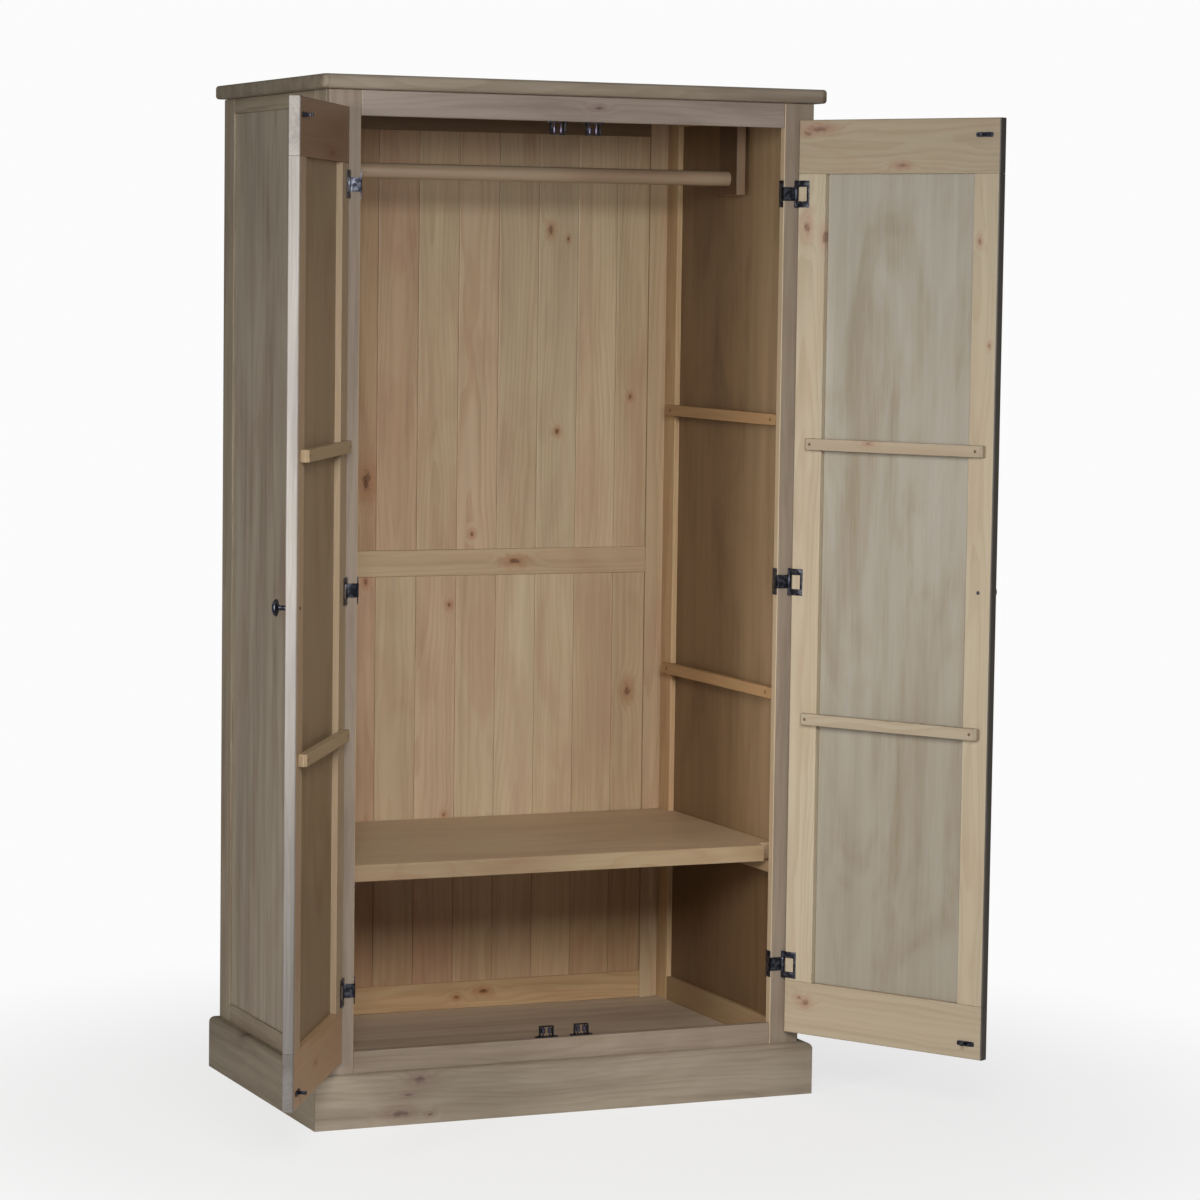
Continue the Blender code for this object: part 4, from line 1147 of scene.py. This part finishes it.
class WARDROBE_OT_catches(Piece):
    """Adds the roller catches and the strikes that pass between their rollers"""
    bl_idname = "wardrobe.catches"
    bl_label = "Catches"

    def execute(self, context):
        for label, _ in HANDS:
            for level, away in (("top", -1), ("bottom", 1)):
                self.catch(f"catch_{level}_{label}", away)
                self.strike(f"strike_{level}_{label}", label)
        return {"FINISHED"}

    def catch(self, node, away):
        """A bracket with a foot, two arms and a cap, and two rollers on their axles."""
        low, high = node_box(node)
        middle = (low + high) / 2
        base, tip = (high.z, low.z) if away < 0 else (low.z, high.z)
        face = base + away * CATCH_SHEET
        cheek = 0.013
        foot = cube_between((low.x, low.y, base), (high.x, high.y, face))
        soften(foot, edges_along(foot, 2), 0.004, 4)
        shells = [foot]
        for sign in (-1, 1):
            x = middle.x + sign * cheek
            shells.append(eased_box((x - CATCH_SHEET / 2, middle.y - 0.0045, base),
                                    (x + CATCH_SHEET / 2, middle.y + 0.0045, tip)))
        shells.append(eased_box((middle.x - cheek, middle.y - 0.005, tip),
                                (middle.x + cheek, middle.y + 0.005, tip - away * CATCH_SHEET)))
        add_iron(node + "_bracket", joined(shells), stands_for=node)
        roller_z = tip - away * (CATCH_SHEET + 0.0025 + 0.005)
        half = [(0.0038, 0.0), (0.0041, 0.0035), (0.0040, 0.0045), (0.0034, 0.005), (0, 0.005)]
        profile = [(out, -up) for out, up in reversed(half[1:])] + half
        for tag, sign in (("a", -1), ("b", 1)):
            x = middle.x + sign * 0.0066
            roller = turned_shape(profile, 32, Matrix.Translation((x, middle.y, roller_z)))
            axle = rod_shape(0.0012, low.z + 0.0004, high.z - 0.0004, 16, 0.0002,
                             Matrix.Translation((x, middle.y, 0)))
            add_iron(f"{node}_roller_{tag}", joined((roller, axle)), metal=STEEL)
        screws = []
        for sign in (-1, 1):
            spot = (middle.x + sign * 0.018, middle.y, face)
            screws.append(screw_shape(0.0026, 0.0009, facing(spot, (0, 0, away), sign)))
        add_iron(node + "_screws", joined(screws), smooth=None)

    def strike(self, node, label):
        """A plate on the door with a neck and a round head that passes between the rollers."""
        place = door_place(label)
        low, high = node_box(node, place)
        middle = (low + high) / 2
        face = low.y + CATCH_SHEET
        head = high.y - 0.0026
        plate = cube_between(low, (high.x, face, high.z))
        soften(plate, edges_along(plate, 1), 0.0035, 4)
        shells = [plate,
                  eased_box((middle.x - 0.0015, low.y + 0.0005, middle.z - 0.003),
                            (middle.x + 0.0015, head, middle.z + 0.003), 0.0004),
                  rod_shape(0.0026, middle.z - 0.0029, middle.z + 0.0029, 24, 0.0006,
                            Matrix.Translation((middle.x, head, 0)))]
        for sign in (-1, 1):
            spot = (middle.x + sign * 0.012, face, middle.z)
            shells.append(screw_shape(0.0024, 0.0009, facing(spot, (0, 1, 0), sign)))
        add_iron(node + "_pressed", joined(shells), label + "_door", place, node)


class WARDROBE_OT_stage(Piece):
    """Adds the floor, the soft lights, the light from all round and the camera"""
    bl_idname = "wardrobe.stage"
    bl_label = "Stage"

    def execute(self, context):
        scene = context.scene
        scene.view_settings.view_transform = "Standard"
        self.floor(scene)
        self.world(scene)
        stage = scene.wardrobe_stage
        self.light("key", azimuth=19, distance=3.3, height=1.95, size=(1.3, 0.9), power=stage.key,
                   colour=(1.0, 0.98, 0.95), spread=80)
        self.light("strip", azimuth=61, distance=4.2, height=1.4, size=(0.7, 1.8), power=stage.strip,
                   colour=(1.0, 0.985, 0.96), spread=70)
        camera = bpy.data.cameras.new("camera")
        camera.sensor_width = 36.0
        camera.lens = stage.lens
        holder = bpy.data.objects.new("camera", camera)
        scene.collection.objects.link(holder)
        turn = (Matrix.Rotation(-0.40593, 4, "Z") @ Matrix.Rotation(math.pi / 2 - 0.083688, 4, "X")
                @ Matrix.Rotation(0.0135405, 4, "Z"))
        front = node_box("face_stile_left")[0].y
        holder.matrix_world = Matrix.Translation((-2.81465, front - 6.6801, 1.56164)) @ turn
        scene.camera = holder
        return {"FINISHED"}

    def floor(self, scene):
        """A disc that fades into the backdrop, so that no horizon shows."""
        stage = scene.wardrobe_stage
        shape = bmesh.new()
        bmesh.ops.create_circle(shape, cap_ends=True, segments=96, radius=40.0)
        mesh = bpy.data.meshes.new("floor")
        shape.to_mesh(mesh)
        shape.free()
        floor = bpy.data.objects.new("floor", mesh)
        scene.collection.objects.link(floor)
        made = bpy.data.materials.new("floor")
        made.use_nodes = True
        tree = Tree(made.node_tree)
        spot = tree.node("ShaderNodeTexCoord", output=3)
        away = tree.vector("LENGTH", spot, output=1)
        shader = made.node_tree.nodes["Principled BSDF"]
        shader.inputs["Base Color"].default_value = opaque(stage.floor)
        shader.inputs["Roughness"].default_value = 0.9
        glow = tree.node("ShaderNodeEmission", None, {"Color": opaque(stage.backdrop), "Strength": 1.0})
        seen = tree.node("ShaderNodeLightPath")
        share = (tree.fade(away, 0.5, 1.9) * 0.25 + 0.75) * seen
        both = tree.node("ShaderNodeMixShader", None, {0: share, 1: Value(tree, shader.outputs[0]), 2: glow})
        tree.nodes.links.new(both.socket, made.node_tree.nodes["Material Output"].inputs["Surface"])
        mesh.materials.append(made)

    def world(self, scene):
        """Pale to look at, and a softer light from all round."""
        stage = scene.wardrobe_stage
        world = bpy.data.worlds.new("studio")
        scene.world = world
        world.use_nodes = True
        tree = Tree(world.node_tree)
        seen = tree.node("ShaderNodeLightPath")
        background = world.node_tree.nodes["Background"]
        background.inputs["Color"].default_value = opaque(stage.backdrop)
        strength = tree.node("ShaderNodeMix", {"data_type": "FLOAT"},
                             {0: seen, 2: stage.ambient / max(stage.backdrop[0], 0.01), 3: 1.0})
        tree.nodes.links.new(strength.socket, background.inputs["Strength"])

    def light(self, name, azimuth, distance, height, size, power, colour, spread):
        """A soft light at an angle to the left of straight ahead, aimed at the wardrobe."""
        data = bpy.data.lights.new(name, "AREA")
        data.shape = "RECTANGLE"
        data.size, data.size_y = size
        data.energy = power
        data.color = colour
        lamp = bpy.data.objects.new(name, data)
        bpy.context.scene.collection.objects.link(lamp)
        turn = math.radians(azimuth)
        point = Vector((-math.sin(turn) * distance, -math.cos(turn) * distance, height))
        data.spread = math.radians(spread)
        aim = Vector((0.0, 0.2, 0.7)) - point
        lamp.matrix_world = Matrix.Translation(point) @ aim.to_track_quat("-Z", "Y").to_matrix().to_4x4()
        lamp.visible_camera = False


class WARDROBE_PT_panel(bpy.types.Panel):
    """Lists the wardrobe's sizes and its operators"""
    bl_idname = "WARDROBE_PT_panel"
    bl_label = "Pine Wardrobe"
    bl_space_type = "VIEW_3D"
    bl_region_type = "UI"
    bl_category = "Wardrobe"

    def draw(self, context):
        layout = self.layout
        for group in (context.scene.wardrobe_edges, context.scene.wardrobe_stage):
            box = layout.box()
            for name in group.__annotations__:
                box.prop(group, name)
        for operator in OPERATORS:
            layout.operator(operator.bl_idname)


OPERATORS = (WARDROBE_OT_stage, WARDROBE_OT_top, WARDROBE_OT_plinth, WARDROBE_OT_face_frame,
             WARDROBE_OT_sides, WARDROBE_OT_back, WARDROBE_OT_shelves, WARDROBE_OT_hanging_rail,
             WARDROBE_OT_doors, WARDROBE_OT_knobs, WARDROBE_OT_hinges, WARDROBE_OT_catches)
GROUPS = (WardrobeEdges, WardrobeStage)

IRON = iron("dark_iron")
# a brighter copy of the iron, for a painted highlight on one hinge leaf
PAINTED_HIGHLIGHT_IRON = iron("bare_iron", 3.4, 0.5)
STEEL = bright_steel("roller_steel")
PLUG = plug_wood("plug_wood")


def register():
    for group in GROUPS + OPERATORS + (WARDROBE_PT_panel,):
        bpy.utils.register_class(group)
    bpy.types.Scene.wardrobe_edges = PointerProperty(type=WardrobeEdges)
    bpy.types.Scene.wardrobe_stage = PointerProperty(type=WardrobeStage)


def unregister():
    del bpy.types.Scene.wardrobe_stage
    del bpy.types.Scene.wardrobe_edges
    for group in reversed(GROUPS + OPERATORS + (WARDROBE_PT_panel,)):
        bpy.utils.unregister_class(group)


def main():
    register()
    for operator in OPERATORS:
        group, name = operator.bl_idname.split(".")
        getattr(getattr(bpy.ops, group), name)()


if __name__ == "__main__":
    main()
